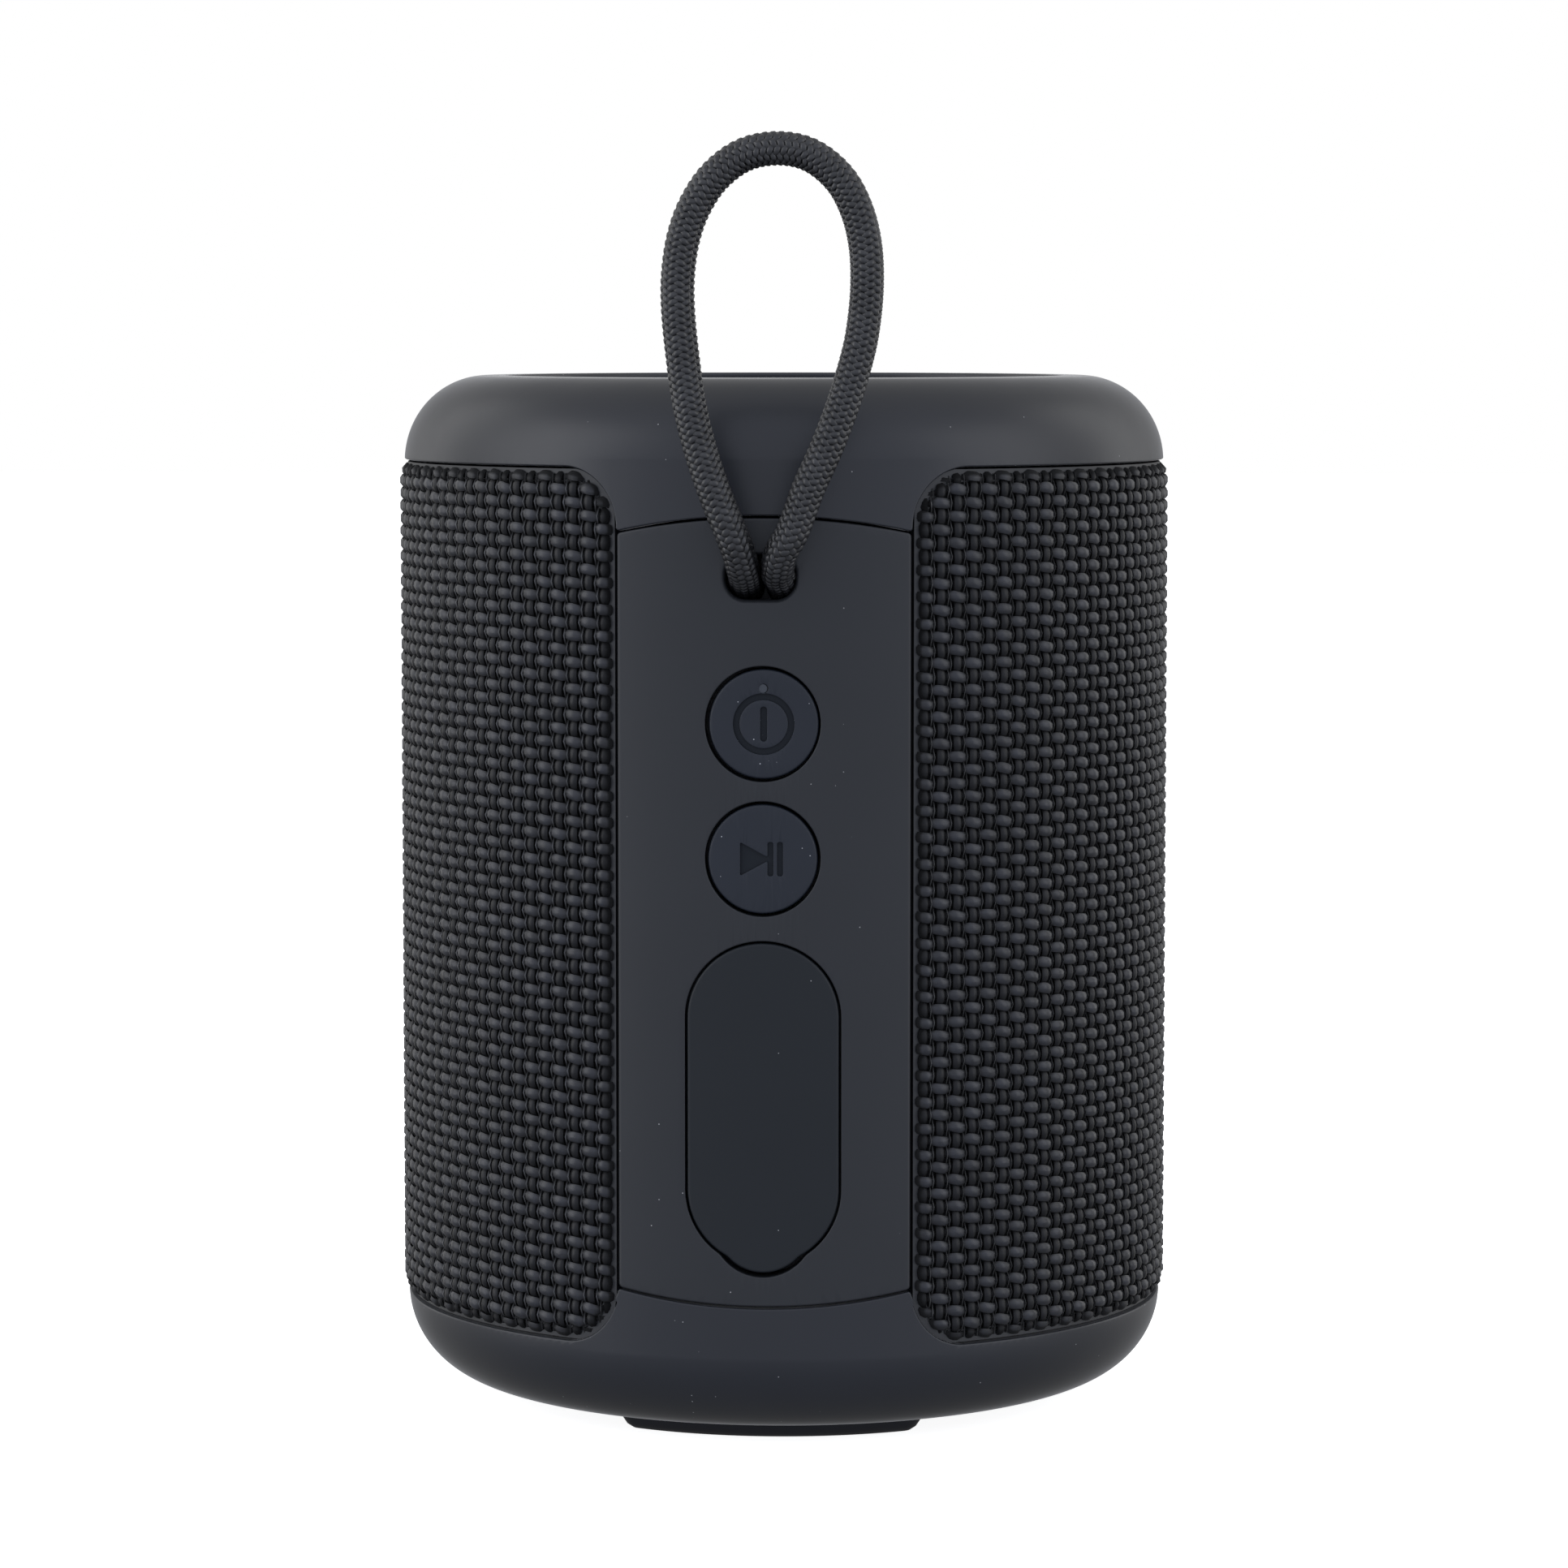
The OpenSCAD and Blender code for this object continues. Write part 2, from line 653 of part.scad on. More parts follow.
module chassis() color(frame_color) difference() {
    union() {
        translate([0, 0, chassis_z]) linear_extrude(height = chassis_top - chassis_z) chassis_outline(0);
        for (a = [60, 180, 300]) rotate([0, 0, a])
            translate([0, -top_screw_r, chassis_top - 1])
                cylinder(r = post_r, h = dish_z - trim_t - cap_floor - chassis_top + 0.9);
        for (x = [-board_screw_x, board_screw_x], z = board_hole_z)
            post(x, z, 2, chassis_front + 0.5, board_back);
    }
    translate([0, 0, chassis_z - 1]) linear_extrude(height = chassis_top - chassis_z - chassis_wall + 1)
        chassis_outline(chassis_wall);
    for (side = [left_side, right_side]) at_driver(side) {
        cylinder(r = 18.9, h = far);
        for (a = [45 : 90 : 315])
            rotate([0, 0, a]) translate([screw_reach, 0, chassis_x - 4.5])
                cylinder(r = 0.9, h = 10, $fn = 24);
    }
    translate([0, 0, driver_z]) forward(far, 20) stadium(radiator_w - 6, radiator_h - 6);
    for (x = [-1, 1], z = [-1, 1]) translate([x * radiator_screw[0], 0, driver_z + z * radiator_screw[1]])
        forward(far, chassis_back - 4) circle(r = 0.9, $fn = 24);
    for (x = [-driver_hole_x, driver_hole_x], k = [0, 1])
        post(x, driver_hole_z + k * lead_pitch, lead_r + 0.3, -20, -30);
    translate([0, 0, battery_hole_z]) forward(-20, -30) square([3.2, 2], center = true);
    for (x = [-board_screw_x, board_screw_x], z = board_hole_z) post(x, z, 0.9, chassis_front - 2, -far);
    for (x = [-clamp_screw_x, clamp_screw_x]) post(x, tail_z, 0.9, -20, -30);
    for (a = [60, 180, 300]) rotate([0, 0, a])
        translate([0, -top_screw_r, chassis_top - 1]) cylinder(r = 1.25, h = far, $fn = 32);
}

module chassis_base() color(frame_color) difference() {
    union() {
        translate([0, 0, base_z]) cylinder(r = 40, h = base_t);
        for (a = [0, 120, 240]) rotate([0, 0, a])
            translate([0, -bottom_screw_r, foot_h + wall + 0.1])
                cylinder(r = post_r, h = base_z - foot_h - wall);
    }
    for (a = [0, 120, 240]) rotate([0, 0, a])
        translate([0, -bottom_screw_r, 0]) cylinder(r = 1.25, h = base_z + 1, $fn = 32);
}

module chassis_gasket() color("#111214")
    translate([0, 0, base_z + base_t]) linear_extrude(height = gasket_t) difference() {
        chassis_outline(0.1);
        chassis_outline(chassis_wall - 0.1);
    }

// ---------- drivers ----------

module basket() color(steel_color) difference() {
    rotate_extrude() polygon([
        [9, 22.9], [13.8, 22.9], [18.3, chassis_x], [flange_r, chassis_x], [flange_r, chassis_x + 1.5],
        [17.2, chassis_x + 1.5], [17.2, chassis_x], [13.2, 24.1], [9, 24.1]
    ]);
    for (a = [45 : 90 : 315]) {
        ring_sector(12, 20, 25.4, 32.6, a - 25, a + 25);
        rotate([0, 0, a]) translate([screw_reach, 0, 30]) cylinder(r = 1, h = 10, $fn = 24);
    }
}

module magnet() color("#2c2d2f") translate([0, 0, 16.4]) difference() {
    cylinder(r = 14.5, h = 5);
    translate([0, 0, -1]) cylinder(r = 7, h = 7);
}

module top_plate() color(steel_color) translate([0, 0, 21.4]) difference() {
    cylinder(r = 13.6, h = 1.5);
    translate([0, 0, -1]) cylinder(r = 5.75, h = 4);
}

module yoke() color(steel_color) difference() {
    union() {
        translate([0, 0, 14.4]) cylinder(r = 14, h = 2);
        translate([0, 0, 14.4]) cylinder(r = 4.95, h = 8.5);
    }
    translate([0, 0, 10]) cylinder(r = 1.5, h = 20);
}

module voice_coil() color("#b06a34") rotate_extrude() {
    translate([5.2, 18.2]) square([0.3, cone_neck[1] - 18.2]);
    translate([5.45, 20.2]) square([0.18, 4]);
}

module spider() color("#a8763c") rotate_extrude() {
    for (r = [5.64 : 1.11 : 11.2]) translate([r, 24.75]) square([1.11, 0.4]);
    for (r = [6.2 : 2.22 : 11]) translate([r, 24.5]) square([0.5, 0.4]);
    translate([11.2, 24.1]) square([1.1, 1.05]);
}

module cone() color("#26282b") rotate_extrude()
    polygon([cone_neck, cone_top, cone_top - [0, cone_t], cone_neck - [0, cone_t]]);

module dust_cap() color("#1d1e20") rotate_extrude() intersection() {
    translate([0, 26.2]) difference() {
        circle(r = 7.6);
        circle(r = 7.1);
    }
    polygon([[0, cone_neck[1]], cone_neck, cone_top, [0, far]]);
}

module surround() color("#141517") rotate_extrude() difference() {
    union() {
        translate([16, 35.7]) circle(r = 1.3, $fn = 48);
        translate([13.4, 35.5]) square([5, 0.4]);
    }
    translate([16, 35.5]) circle(r = 0.95, $fn = 48);
    translate([14.7, 30]) square([2.6, 5.5]);
}

module left_basket() at_driver(left_side) basket();
module left_magnet() at_driver(left_side) magnet();
module left_top_plate() at_driver(left_side) top_plate();
module left_yoke() at_driver(left_side) yoke();
module left_voice_coil() at_driver(left_side) voice_coil();
module left_spider() at_driver(left_side) spider();
module left_cone() at_driver(left_side) cone();
module left_surround() at_driver(left_side) surround();
module left_dust_cap() at_driver(left_side) dust_cap();
module right_basket() at_driver(right_side) basket();
module right_magnet() at_driver(right_side) magnet();
module right_top_plate() at_driver(right_side) top_plate();
module right_yoke() at_driver(right_side) yoke();
module right_voice_coil() at_driver(right_side) voice_coil();
module right_spider() at_driver(right_side) spider();
module right_cone() at_driver(right_side) cone();
module right_surround() at_driver(right_side) surround();
module right_dust_cap() at_driver(right_side) dust_cap();

// Two wires from a basket's terminals, down and in behind the front wall, and out to the board.
module driver_lead(side) color("#8c1f1f")
    for (k = [0, 1]) {
        x = side * (23.5 + k * lead_pitch);
        z = driver_hole_z + (1 - k) * lead_pitch;
        wire([[x, -14.2 - k * 0.8, driver_z], [x, lead_y, driver_z], [x, lead_y, z],
            [side * driver_hole_x, lead_y, z], [side * driver_hole_x, board_back, z]], lead_r);
    }
module left_driver_lead() driver_lead(left_side);
module right_driver_lead() driver_lead(right_side);

// ---------- passive radiator ----------

module radiator_ring(w1, h1, w2, h2, y1, y2)
    translate([0, 0, driver_z]) forward(y2, y1) difference() {
        stadium(w1, h1);
        stadium(w2, h2);
    }

module radiator_frame() color(steel_color) difference() {
    radiator_ring(radiator_w, radiator_h, radiator_w - 8, radiator_h - 8, chassis_back, chassis_back + 1.4);
    for (x = [-1, 1], z = [-1, 1]) translate([x * radiator_screw[0], 0, driver_z + z * radiator_screw[1]])
        forward(far, 20) circle(r = 1, $fn = 24);
}

module radiator_surround() color("#141517")
    radiator_ring(radiator_w - 8.2, radiator_h - 8.2, radiator_w - 16, radiator_h - 16,
        chassis_back + 0.3, chassis_back + 1.1);

module radiator_plate() color("#3b3d40")
    translate([0, 0, driver_z])
        forward(chassis_back + 2.2, chassis_back) stadium(radiator_w - 16.2, radiator_h - 16.2);

// ---------- battery and board ----------

module battery_cell() color("#2f6fb0") translate([0, cradle_y, cell_z]) {
    cylinder(r = cell_d / 2, h = cell_l - 1);
    cylinder(r = 3.2, h = cell_l);
}

module battery_cradle() color(frame_color) difference() {
    seat_y = chassis_front + chassis_wall + 0.1;
    union() {
        translate([-9, seat_y, cell_z]) cube([18, 4, cell_l - 6]);
        for (z = [cell_z + 6, cell_z + cell_l - 14])
            translate([-11, seat_y, z]) cube([22, cradle_y - seat_y + 2, 8]);
    }
    translate([0, cradle_y, 0]) cylinder(r = cell_d / 2 + 0.05, h = body_h);
}

module battery_lead() color("#8c1f1f")
    for (x = [-0.8, 0.8])
        wire([[x, cradle_y, cell_z + cell_l + 0.1], [x, cradle_y, 98], [x, lead_y, 98],
            [x, lead_y, battery_hole_z], [x, board_back, battery_hole_z]], lead_r);

module main_board() color("#1d5a3a") difference() {
    translate([0, 0, (board_z[0] + board_z[1]) / 2])
        forward(board_back, board_front) rounded_rect(board_w, board_z[1] - board_z[0], 1.5);
    translate([0, 0, aux_z]) forward(-20, -far) square(7.3, center = true);
    for (x = [-board_screw_x, board_screw_x], z = board_hole_z) post(x, z, 1.1, -20, -far);
}

module bluetooth_module() color("#b9bcc0") translate([0, 0, 53.5])
    forward(board_front, board_front - 1.8) rounded_rect(12, 9, 0.6);

// ---------- fasteners ----------

module frame_screws() color(steel_color) {
    for (side = [left_side, right_side]) at_driver(side)
        for (a = [45 : 90 : 315]) rotate([0, 0, a]) translate([screw_reach, 0, chassis_x + 1.5]) pan_screw();
    for (x = [-1, 1], z = [-1, 1])
        translate([x * radiator_screw[0], chassis_back + 1.4, driver_z + z * radiator_screw[1]])
            rotate([-90, 0, 0]) pan_screw();
    for (x = [-board_screw_x, board_screw_x], z = board_hole_z)
        translate([x, board_front, z]) rotate([90, 0, 0]) pan_screw();
    for (x = [-clamp_screw_x, clamp_screw_x])
        translate([x, clamp_screw_y, tail_z]) rotate([90, 0, 0]) pan_screw();
}

module cap_screws() color(steel_color) {
    for (a = [60, 180, 300])
        rotate([0, 0, a]) translate([0, -top_screw_r, dish_z - trim_t - 0.1]) flat_screw(8);
    for (a = [0, 120, 240]) rotate([0, 0, a])
        translate([0, -bottom_screw_r, foot_h + foot_seat + 0.1]) mirror([0, 0, 1]) flat_screw(8);
}

top_cap();
top_trim();
bottom_cap();
foot_front();
foot_left();
foot_right();
spine_panel();
grille_frame();
grille_fabric();
power_button();
power_light_guide();
play_button();
button_guide();
power_switch();
power_switch_plunger();
play_switch();
play_switch_plunger();
status_light();
port_bezel();
port_cover_anchor();
port_cover();
usb_socket();
aux_socket();
lanyard_loop();
lanyard_tails();
lanyard_clamp();
chassis();
chassis_base();
chassis_gasket();
left_basket();
left_magnet();
left_top_plate();
left_yoke();
left_voice_coil();
left_spider();
left_cone();
left_surround();
left_dust_cap();
left_driver_lead();
right_basket();
right_magnet();
right_top_plate();
right_yoke();
right_voice_coil();
right_spider();
right_cone();
right_surround();
right_dust_cap();
right_driver_lead();
radiator_frame();
radiator_surround();
radiator_plate();
battery_cell();
battery_cradle();
battery_lead();
main_board();
bluetooth_module();
frame_screws();
cap_screws();
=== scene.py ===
import json
import math
import bpy
import bmesh
import numpy as np
from mathutils import Matrix, Vector


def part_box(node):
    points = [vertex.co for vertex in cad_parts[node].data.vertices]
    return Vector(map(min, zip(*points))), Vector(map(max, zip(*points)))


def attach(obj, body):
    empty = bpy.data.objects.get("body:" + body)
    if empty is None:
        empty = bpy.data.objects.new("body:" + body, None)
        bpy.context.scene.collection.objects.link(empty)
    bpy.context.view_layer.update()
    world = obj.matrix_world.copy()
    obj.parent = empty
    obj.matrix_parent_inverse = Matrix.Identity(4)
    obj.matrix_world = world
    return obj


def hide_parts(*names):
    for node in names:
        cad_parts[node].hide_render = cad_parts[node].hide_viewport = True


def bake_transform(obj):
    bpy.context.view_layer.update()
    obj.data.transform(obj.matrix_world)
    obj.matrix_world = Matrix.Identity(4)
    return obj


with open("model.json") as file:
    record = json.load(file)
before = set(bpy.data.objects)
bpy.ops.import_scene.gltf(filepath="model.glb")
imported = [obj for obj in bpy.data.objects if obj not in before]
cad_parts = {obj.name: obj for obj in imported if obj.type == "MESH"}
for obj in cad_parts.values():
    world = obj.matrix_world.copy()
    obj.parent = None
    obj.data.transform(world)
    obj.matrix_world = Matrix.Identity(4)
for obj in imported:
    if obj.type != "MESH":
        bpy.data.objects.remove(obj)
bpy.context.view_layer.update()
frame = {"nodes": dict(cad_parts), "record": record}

# Shapes are built in millimetres and scaled to metres when a piece is finished.
mm = 0.001
scene = bpy.context.scene


def boxOf(node):                                   # corners of a frame node, in millimetres
    low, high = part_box(node)
    return low / mm, high / mm


capHigh = boxOf("top_cap")[1]
heelLow = boxOf("bottom_cap")[0]
clothLow, clothHigh = boxOf("grille_fabric")
bodyR = capHigh.x                                  # outside of the caps and the spine
clothR = clothHigh.x                               # crests of the fabric
topSeam = clothHigh.z
bottomSeam = clothLow.z

cameraSet = {"place": (34.3, -643.8, 128.3), "pitch": -4.893, "turn": 3.05, "lens": 123.19,
             "sensor": 36, "nearest": 0.01}


def makeCamera():
    data = bpy.data.cameras.new("camera")
    data.lens = cameraSet["lens"]
    data.sensor_width = cameraSet["sensor"]
    data.clip_start = cameraSet["nearest"]
    camera = bpy.data.objects.new("camera", data)
    camera.location = [v * mm for v in cameraSet["place"]]
    camera.rotation_euler = (math.radians(90 + cameraSet["pitch"]), 0, math.radians(cameraSet["turn"]))
    scene.collection.objects.link(camera)
    scene.camera = camera


makeCamera()
print("camera set")

# Helpers for nodes


def newMaterial(name):
    material = bpy.data.materials.new(name)
    material.use_nodes = True
    nodes, links = material.node_tree.nodes, material.node_tree.links
    return material, nodes, links, nodes["Principled BSDF"]


def maths(nodes, links, operation, *values):       # values are numbers or sockets
    made = nodes.new("ShaderNodeMath")
    made.operation = operation
    for value, socket in zip(values, made.inputs):
        if isinstance(value, (int, float)):
            socket.default_value = value
        else:
            links.new(value, socket)
    return made.outputs[0]


def axesOf(nodes, links, vector):
    made = nodes.new("ShaderNodeSeparateXYZ")
    links.new(vector, made.inputs[0])
    return made.outputs


def noise(nodes, links, vector, scale, detail=2.0, rough=0.5):
    made = nodes.new("ShaderNodeTexNoise")
    made.inputs["Scale"].default_value = scale
    made.inputs["Detail"].default_value = detail
    made.inputs["Roughness"].default_value = rough
    links.new(vector, made.inputs["Vector"])
    return made.outputs["Fac"]


def spread(nodes, links, value, low, high, fromLow=0.0, fromHigh=1.0):
    made = nodes.new("ShaderNodeMapRange")
    made.inputs["From Min"].default_value = fromLow
    made.inputs["From Max"].default_value = fromHigh
    made.inputs["To Min"].default_value = low
    made.inputs["To Max"].default_value = high
    links.new(value, made.inputs["Value"])
    return made.outputs["Result"]


def blendColour(nodes, links, factor, a, b):
    made = nodes.new("ShaderNodeMix")
    made.data_type = "RGBA"
    links.new(factor, made.inputs["Factor"])
    for value, socket in ((a, made.inputs[6]), (b, made.inputs[7])):
        if isinstance(value, tuple):
            socket.default_value = (*value, 1)
        else:
            links.new(value, socket)
    return made.outputs[2]


def bump(nodes, links, height, strength, distance):
    made = nodes.new("ShaderNodeBump")
    made.inputs["Strength"].default_value = strength
    made.inputs["Distance"].default_value = distance
    links.new(height, made.inputs["Height"])
    return made.outputs["Normal"]


def objectPlace(nodes):
    return nodes.new("ShaderNodeTexCoord").outputs["Object"]


def uvPlace(nodes, links, stretch):                # the piece's own map, stretched along each way
    uv = nodes.new("ShaderNodeTexCoord").outputs["UV"]
    made = nodes.new("ShaderNodeMapping")
    made.inputs["Scale"].default_value = stretch
    links.new(uv, made.inputs["Vector"])
    return made.outputs["Vector"]


# Materials of the outside


mouldedSet = {"cloudScale": 60, "paler": 1.12, "paleLift": 0.0006, "darker": 0.9, "speckScale": 1100.0,
              "drawEdge": 0.01, "dot": (0.055, 0.085), "glossScale": 130, "glossSpread": 0.05,
              "grainScale": 5200, "grainDeep": 0.00002, "sheenRoughness": 0.2}


def moulded(name, colour, dustColour, roughness, dust, grain=0.25, specular=0.5, sheen=0.0):
    # matt moulded plastic or rubber: fine grain, cloudy gloss and a few specks of dust
    m = mouldedSet
    material, nodes, links, shader = newMaterial(name)
    place = objectPlace(nodes)
    cloud = noise(nodes, links, place, m["cloudScale"], 3)
    paler = tuple(min(1, c * m["paler"] + m["paleLift"]) for c in colour)
    darker = tuple(c * m["darker"] for c in colour)
    base = blendColour(nodes, links, cloud, darker, paler)
    specks = nodes.new("ShaderNodeTexVoronoi")
    specks.inputs["Scale"].default_value = m["speckScale"]
    links.new(place, specks.inputs["Vector"])
    draw = nodes.new("ShaderNodeSeparateColor")
    links.new(specks.outputs["Color"], draw.inputs[0])
    drawn = spread(nodes, links, draw.outputs["Red"], 0, 1, 1 - dust, 1 - dust + m["drawEdge"])
    dot = spread(nodes, links, specks.outputs["Distance"], 1, 0, *m["dot"])
    base = blendColour(nodes, links, maths(nodes, links, "MULTIPLY", drawn, dot), base, dustColour)
    links.new(base, shader.inputs["Base Color"])
    patches = noise(nodes, links, place, m["glossScale"], 4, 0.6)
    gloss = spread(nodes, links, patches, roughness - m["glossSpread"], roughness + m["glossSpread"])
    links.new(gloss, shader.inputs["Roughness"])
    fine = noise(nodes, links, place, m["grainScale"], 3, 0.65)
    links.new(bump(nodes, links, fine, grain, m["grainDeep"]), shader.inputs["Normal"])
    shader.inputs["Specular IOR Level"].default_value = specular
    if sheen:
        shader.inputs["Sheen Weight"].default_value = sheen
        shader.inputs["Sheen Roughness"].default_value = m["sheenRoughness"]
    return material


# the three dark colours below paint shade: in the filament grooves, deep in the weave and under braided strands
yarnSet = {"stretch": 1.2, "shadeScale": 420, "shade": (0.3, 0.7), "between": (0.002, 0.002, 0.003),
           "duller": 0.12, "shinier": 0.08, "bump": 0.5, "bumpDeep": 0.00006,
           "dip": (0.00052, 0.0001), "dipShadeColour": (0.0006, 0.0007, 0.0009), "dipRoughness": 0.95,
           "under": (-0.6, 0.55), "underShadeColour": (0.001, 0.0011, 0.0014)}


def yarnFinish(name, dark, pale, roughness, specular, ridges, shaded=False, period=0.0):
    # drawn filaments that run along the yarn, with its own map: u along it, v around it
    y = yarnSet
    material, nodes, links, shader = newMaterial(name)
    place = uvPlace(nodes, links, (y["stretch"], ridges, 1))
    fibres = noise(nodes, links, place, 1.0, 3, 0.6)
    shade = noise(nodes, links, objectPlace(nodes), y["shadeScale"], 2)
    base = blendColour(nodes, links, spread(nodes, links, shade, 0, 1, *y["shade"]), dark, pale)
    # painted shade: darker in the grooves between the filaments, where the fibre bump sinks
    base = blendColour(nodes, links, spread(nodes, links, fibres, 0.35, 0, 0.25, 0.6), base, y["between"])
    gloss = spread(nodes, links, fibres, roughness + y["duller"], roughness - y["shinier"])
    if shaded:                                     # painted shade: darker the deeper a yarn dips under the crests
        parts = axesOf(nodes, links, objectPlace(nodes))
        flat = nodes.new("ShaderNodeCombineXYZ")
        links.new(parts["X"], flat.inputs["X"])
        links.new(parts["Y"], flat.inputs["Y"])
        far = nodes.new("ShaderNodeVectorMath")
        far.operation = "LENGTH"
        links.new(flat.outputs[0], far.inputs[0])
        low, high = (clothR * mm - depth for depth in y["dip"])
        deep = spread(nodes, links, far.outputs["Value"], 1, 0, low, high)
        base = blendColour(nodes, links, deep, base, y["dipShadeColour"])
        gloss = maths(nodes, links, "MAXIMUM", gloss, spread(nodes, links, deep, 0.2, y["dipRoughness"]))
    if period:                                     # painted shade: darker where a braided strand passes under the next
        along = axesOf(nodes, links, nodes.new("ShaderNodeTexCoord").outputs["UV"])["X"]
        phase = maths(nodes, links, "MULTIPLY", along, 2 * math.pi / period)
        under = spread(nodes, links, maths(nodes, links, "COSINE", phase), 0.9, 0, *y["under"])
        base = blendColour(nodes, links, under, base, y["underShadeColour"])
    links.new(base, shader.inputs["Base Color"])
    links.new(gloss, shader.inputs["Roughness"])
    links.new(bump(nodes, links, fibres, y["bump"], y["bumpDeep"]), shader.inputs["Normal"])
    shader.inputs["Specular IOR Level"].default_value = specular
    return material


paleDust, fineDust, dimDust = (0.4, 0.4, 0.4), (0.45, 0.46, 0.48), (0.1, 0.1, 0.1)
capBlack = (0.0092, 0.0110, 0.0155)
finish = {
    "cap": moulded("softTouchCap", capBlack, paleDust, 0.4, 0.09, 0.22, 0.5, 0.35),
    "rim": moulded("polishedRim", capBlack, paleDust, 0.24, 0.02, 0.05, 0.5, 0.3),
    "spine": moulded("softTouchSpine", (0.0140, 0.0158, 0.0190), paleDust, 0.45, 0.04, 0.25, 0.42),
    "button": moulded("buttonRubber", (0.0068, 0.0104, 0.0180), fineDust, 0.5, 0.4, 0.3, 0.42),
    "icon": moulded("iconFloor", (0.0042, 0.0070, 0.0110), dimDust, 0.6, 0.02, 0.2, 0.25),
    "cover": moulded("coverRubber", (0.0052, 0.0078, 0.0108), paleDust, 0.5, 0.06, 0.3, 0.36),
    "foot": moulded("footRubber", (0.0030, 0.0034, 0.0055), dimDust, 0.55, 0.02, 0.4, 0.3),
    # weft, warp and threads take painted shade where they lie deep in the weave
    "weft": yarnFinish("weftYarn", (0.0075, 0.0083, 0.0115), (0.0235, 0.0255, 0.0330),
                       0.36, 0.46, 9.0, shaded=True),
    "warp": yarnFinish("warpYarn", (0.0026, 0.0030, 0.0043), (0.0060, 0.0066, 0.0090),
                       0.42, 0.3, 9.0, shaded=True),
    "thread": yarnFinish("bindingThread", (0.0040, 0.0044, 0.0055), (0.0500, 0.0520, 0.0580),
                         0.16, 0.9, 3.0, shaded=True),
    # the braid takes painted shade where its strands pass under one another
    "braid": yarnFinish("braidYarn", (0.0065, 0.0067, 0.0078), (0.0250, 0.0255, 0.0275),
                        0.33, 0.6, 7.0, period=0.8),
}

# Helpers for meshes


def finishPiece(name, bm, materials, body, stands=(), sharp=38, even=True):
    bmesh.ops.scale(bm, vec=(mm, mm, mm), verts=bm.verts)
    mesh = bpy.data.meshes.new(name)
    bm.to_mesh(mesh)
    bm.free()
    mesh.shade_smooth()
    mesh.set_sharp_from_angle(angle=math.radians(sharp))
    piece = bpy.data.objects.new(name, mesh)
    scene.collection.objects.link(piece)
    for material in materials:
        mesh.materials.append(material)
    if even:
        steady = piece.modifiers.new("evenShading", "WEIGHTED_NORMAL")
        steady.keep_sharp = True
    if body:
        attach(piece, body)
    if stands:
        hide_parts(*stands)
    return piece


def outline(corners, spacing=0.7, arcStep=0.25):   # closed outline from corners (x, z, radius)
    points = []
    for i, (x, z, r) in enumerate(corners):
        here = Vector((x, z))
        back = Vector(corners[i - 1][:2]) - here
        ahead = Vector(corners[(i + 1) % len(corners)][:2]) - here
        if r == 0:
            points.append(here)
            continue
        half = back.angle(ahead) / 2
        turn = math.pi - 2 * half
        reach = r / math.tan(half)
        middle = here + (back.normalized() + ahead.normalized()).normalized() * r / math.sin(half)
        start = here + back.normalized() * reach - middle
        end = here + ahead.normalized() * reach - middle
        steps = max(2, math.ceil(r * turn / arcStep))
        for k in range(steps + 1):
            t = k / steps
            swing = start * math.sin((1 - t) * turn) + end * math.sin(t * turn)
            points.append(middle + swing / math.sin(turn))
    even = []
    for i, point in enumerate(points):
        run = point - points[i - 1]
        if run.length < 0.02:
            continue
        pieces = max(1, math.ceil(run.length / spacing))
        even += [points[i - 1] + run * (k + 1) / pieces for k in range(pieces)]
    return even


def arc(centreZ, r, start, end, steps):            # points of an arc, as corners without a radius
    angles = [math.radians(start + (end - start) * k / steps) for k in range(steps + 1)]
    return [(r * math.cos(a), centreZ + r * math.sin(a), 0) for a in angles]


def circle(z, r, steps=72):
    return [Vector((r * math.cos(a), z + r * math.sin(a)))
            for a in (2 * math.pi * k / steps for k in range(steps))]


def grown(points, amount):                         # every point moved outwards, on a loop that turns left
    moved = []
    for i, point in enumerate(points):
        way = (points[(i + 1) % len(points)] - points[i - 1]).normalized()
        moved.append(point + Vector((way.y, -way.x)) * amount)
    return moved


def ringOf(bm, points, depth, narrow=1.0):
    verts = [bm.verts.new((p.x * narrow, depth, p.y)) for p in points]
    return [bm.edges.new((verts[i - 1], verts[i])) for i in range(len(verts))]


def rolledEdge(bm, points, side, roll, depth, narrow=1.0, steps=4):
    # rounded edge and wall of an outline: side 1 is an outer edge and -1 is a hole's
    rings = []
    for k in range(steps + 1):
        a = math.pi / 2 * k / steps
        inset = grown(points, -side * roll * (1 - math.sin(a)))
        rings.append(ringOf(bm, inset, roll * (1 - math.cos(a))))
    rings.append(ringOf(bm, points, depth, narrow))
    for one, two in zip(rings, rings[1:]):
        bmesh.ops.bridge_loops(bm, edges=one + two)
    return rings[0], rings[-1]


def fill(bm, edges, material=0):
    made = bmesh.ops.triangle_fill(bm, use_beauty=True, use_dissolve=False, edges=edges)
    for face in made["geom"]:
        if isinstance(face, bmesh.types.BMFace):
            face.material_index = material


def cutAcross(bm, axis, places):                       # cuts across the shape, so that it can bend
    for place in places:
        point, normal = [0, 0, 0], [0, 0, 0]
        point[axis], normal[axis] = place, 1
        geom = bm.verts[:] + bm.edges[:] + bm.faces[:]
        bmesh.ops.bisect_plane(bm, geom=geom, dist=0.0005, plane_co=point, plane_no=normal)


def steps(low, high, step):
    count = max(1, round((high - low) / step))
    return [low + (high - low) * k / count for k in range(1, count)]


def drape(bm, radius):                             # lays a flat shape on the body's round front
    for v in bm.verts:
        v.co.y -= math.sqrt(radius ** 2 - v.co.x ** 2)


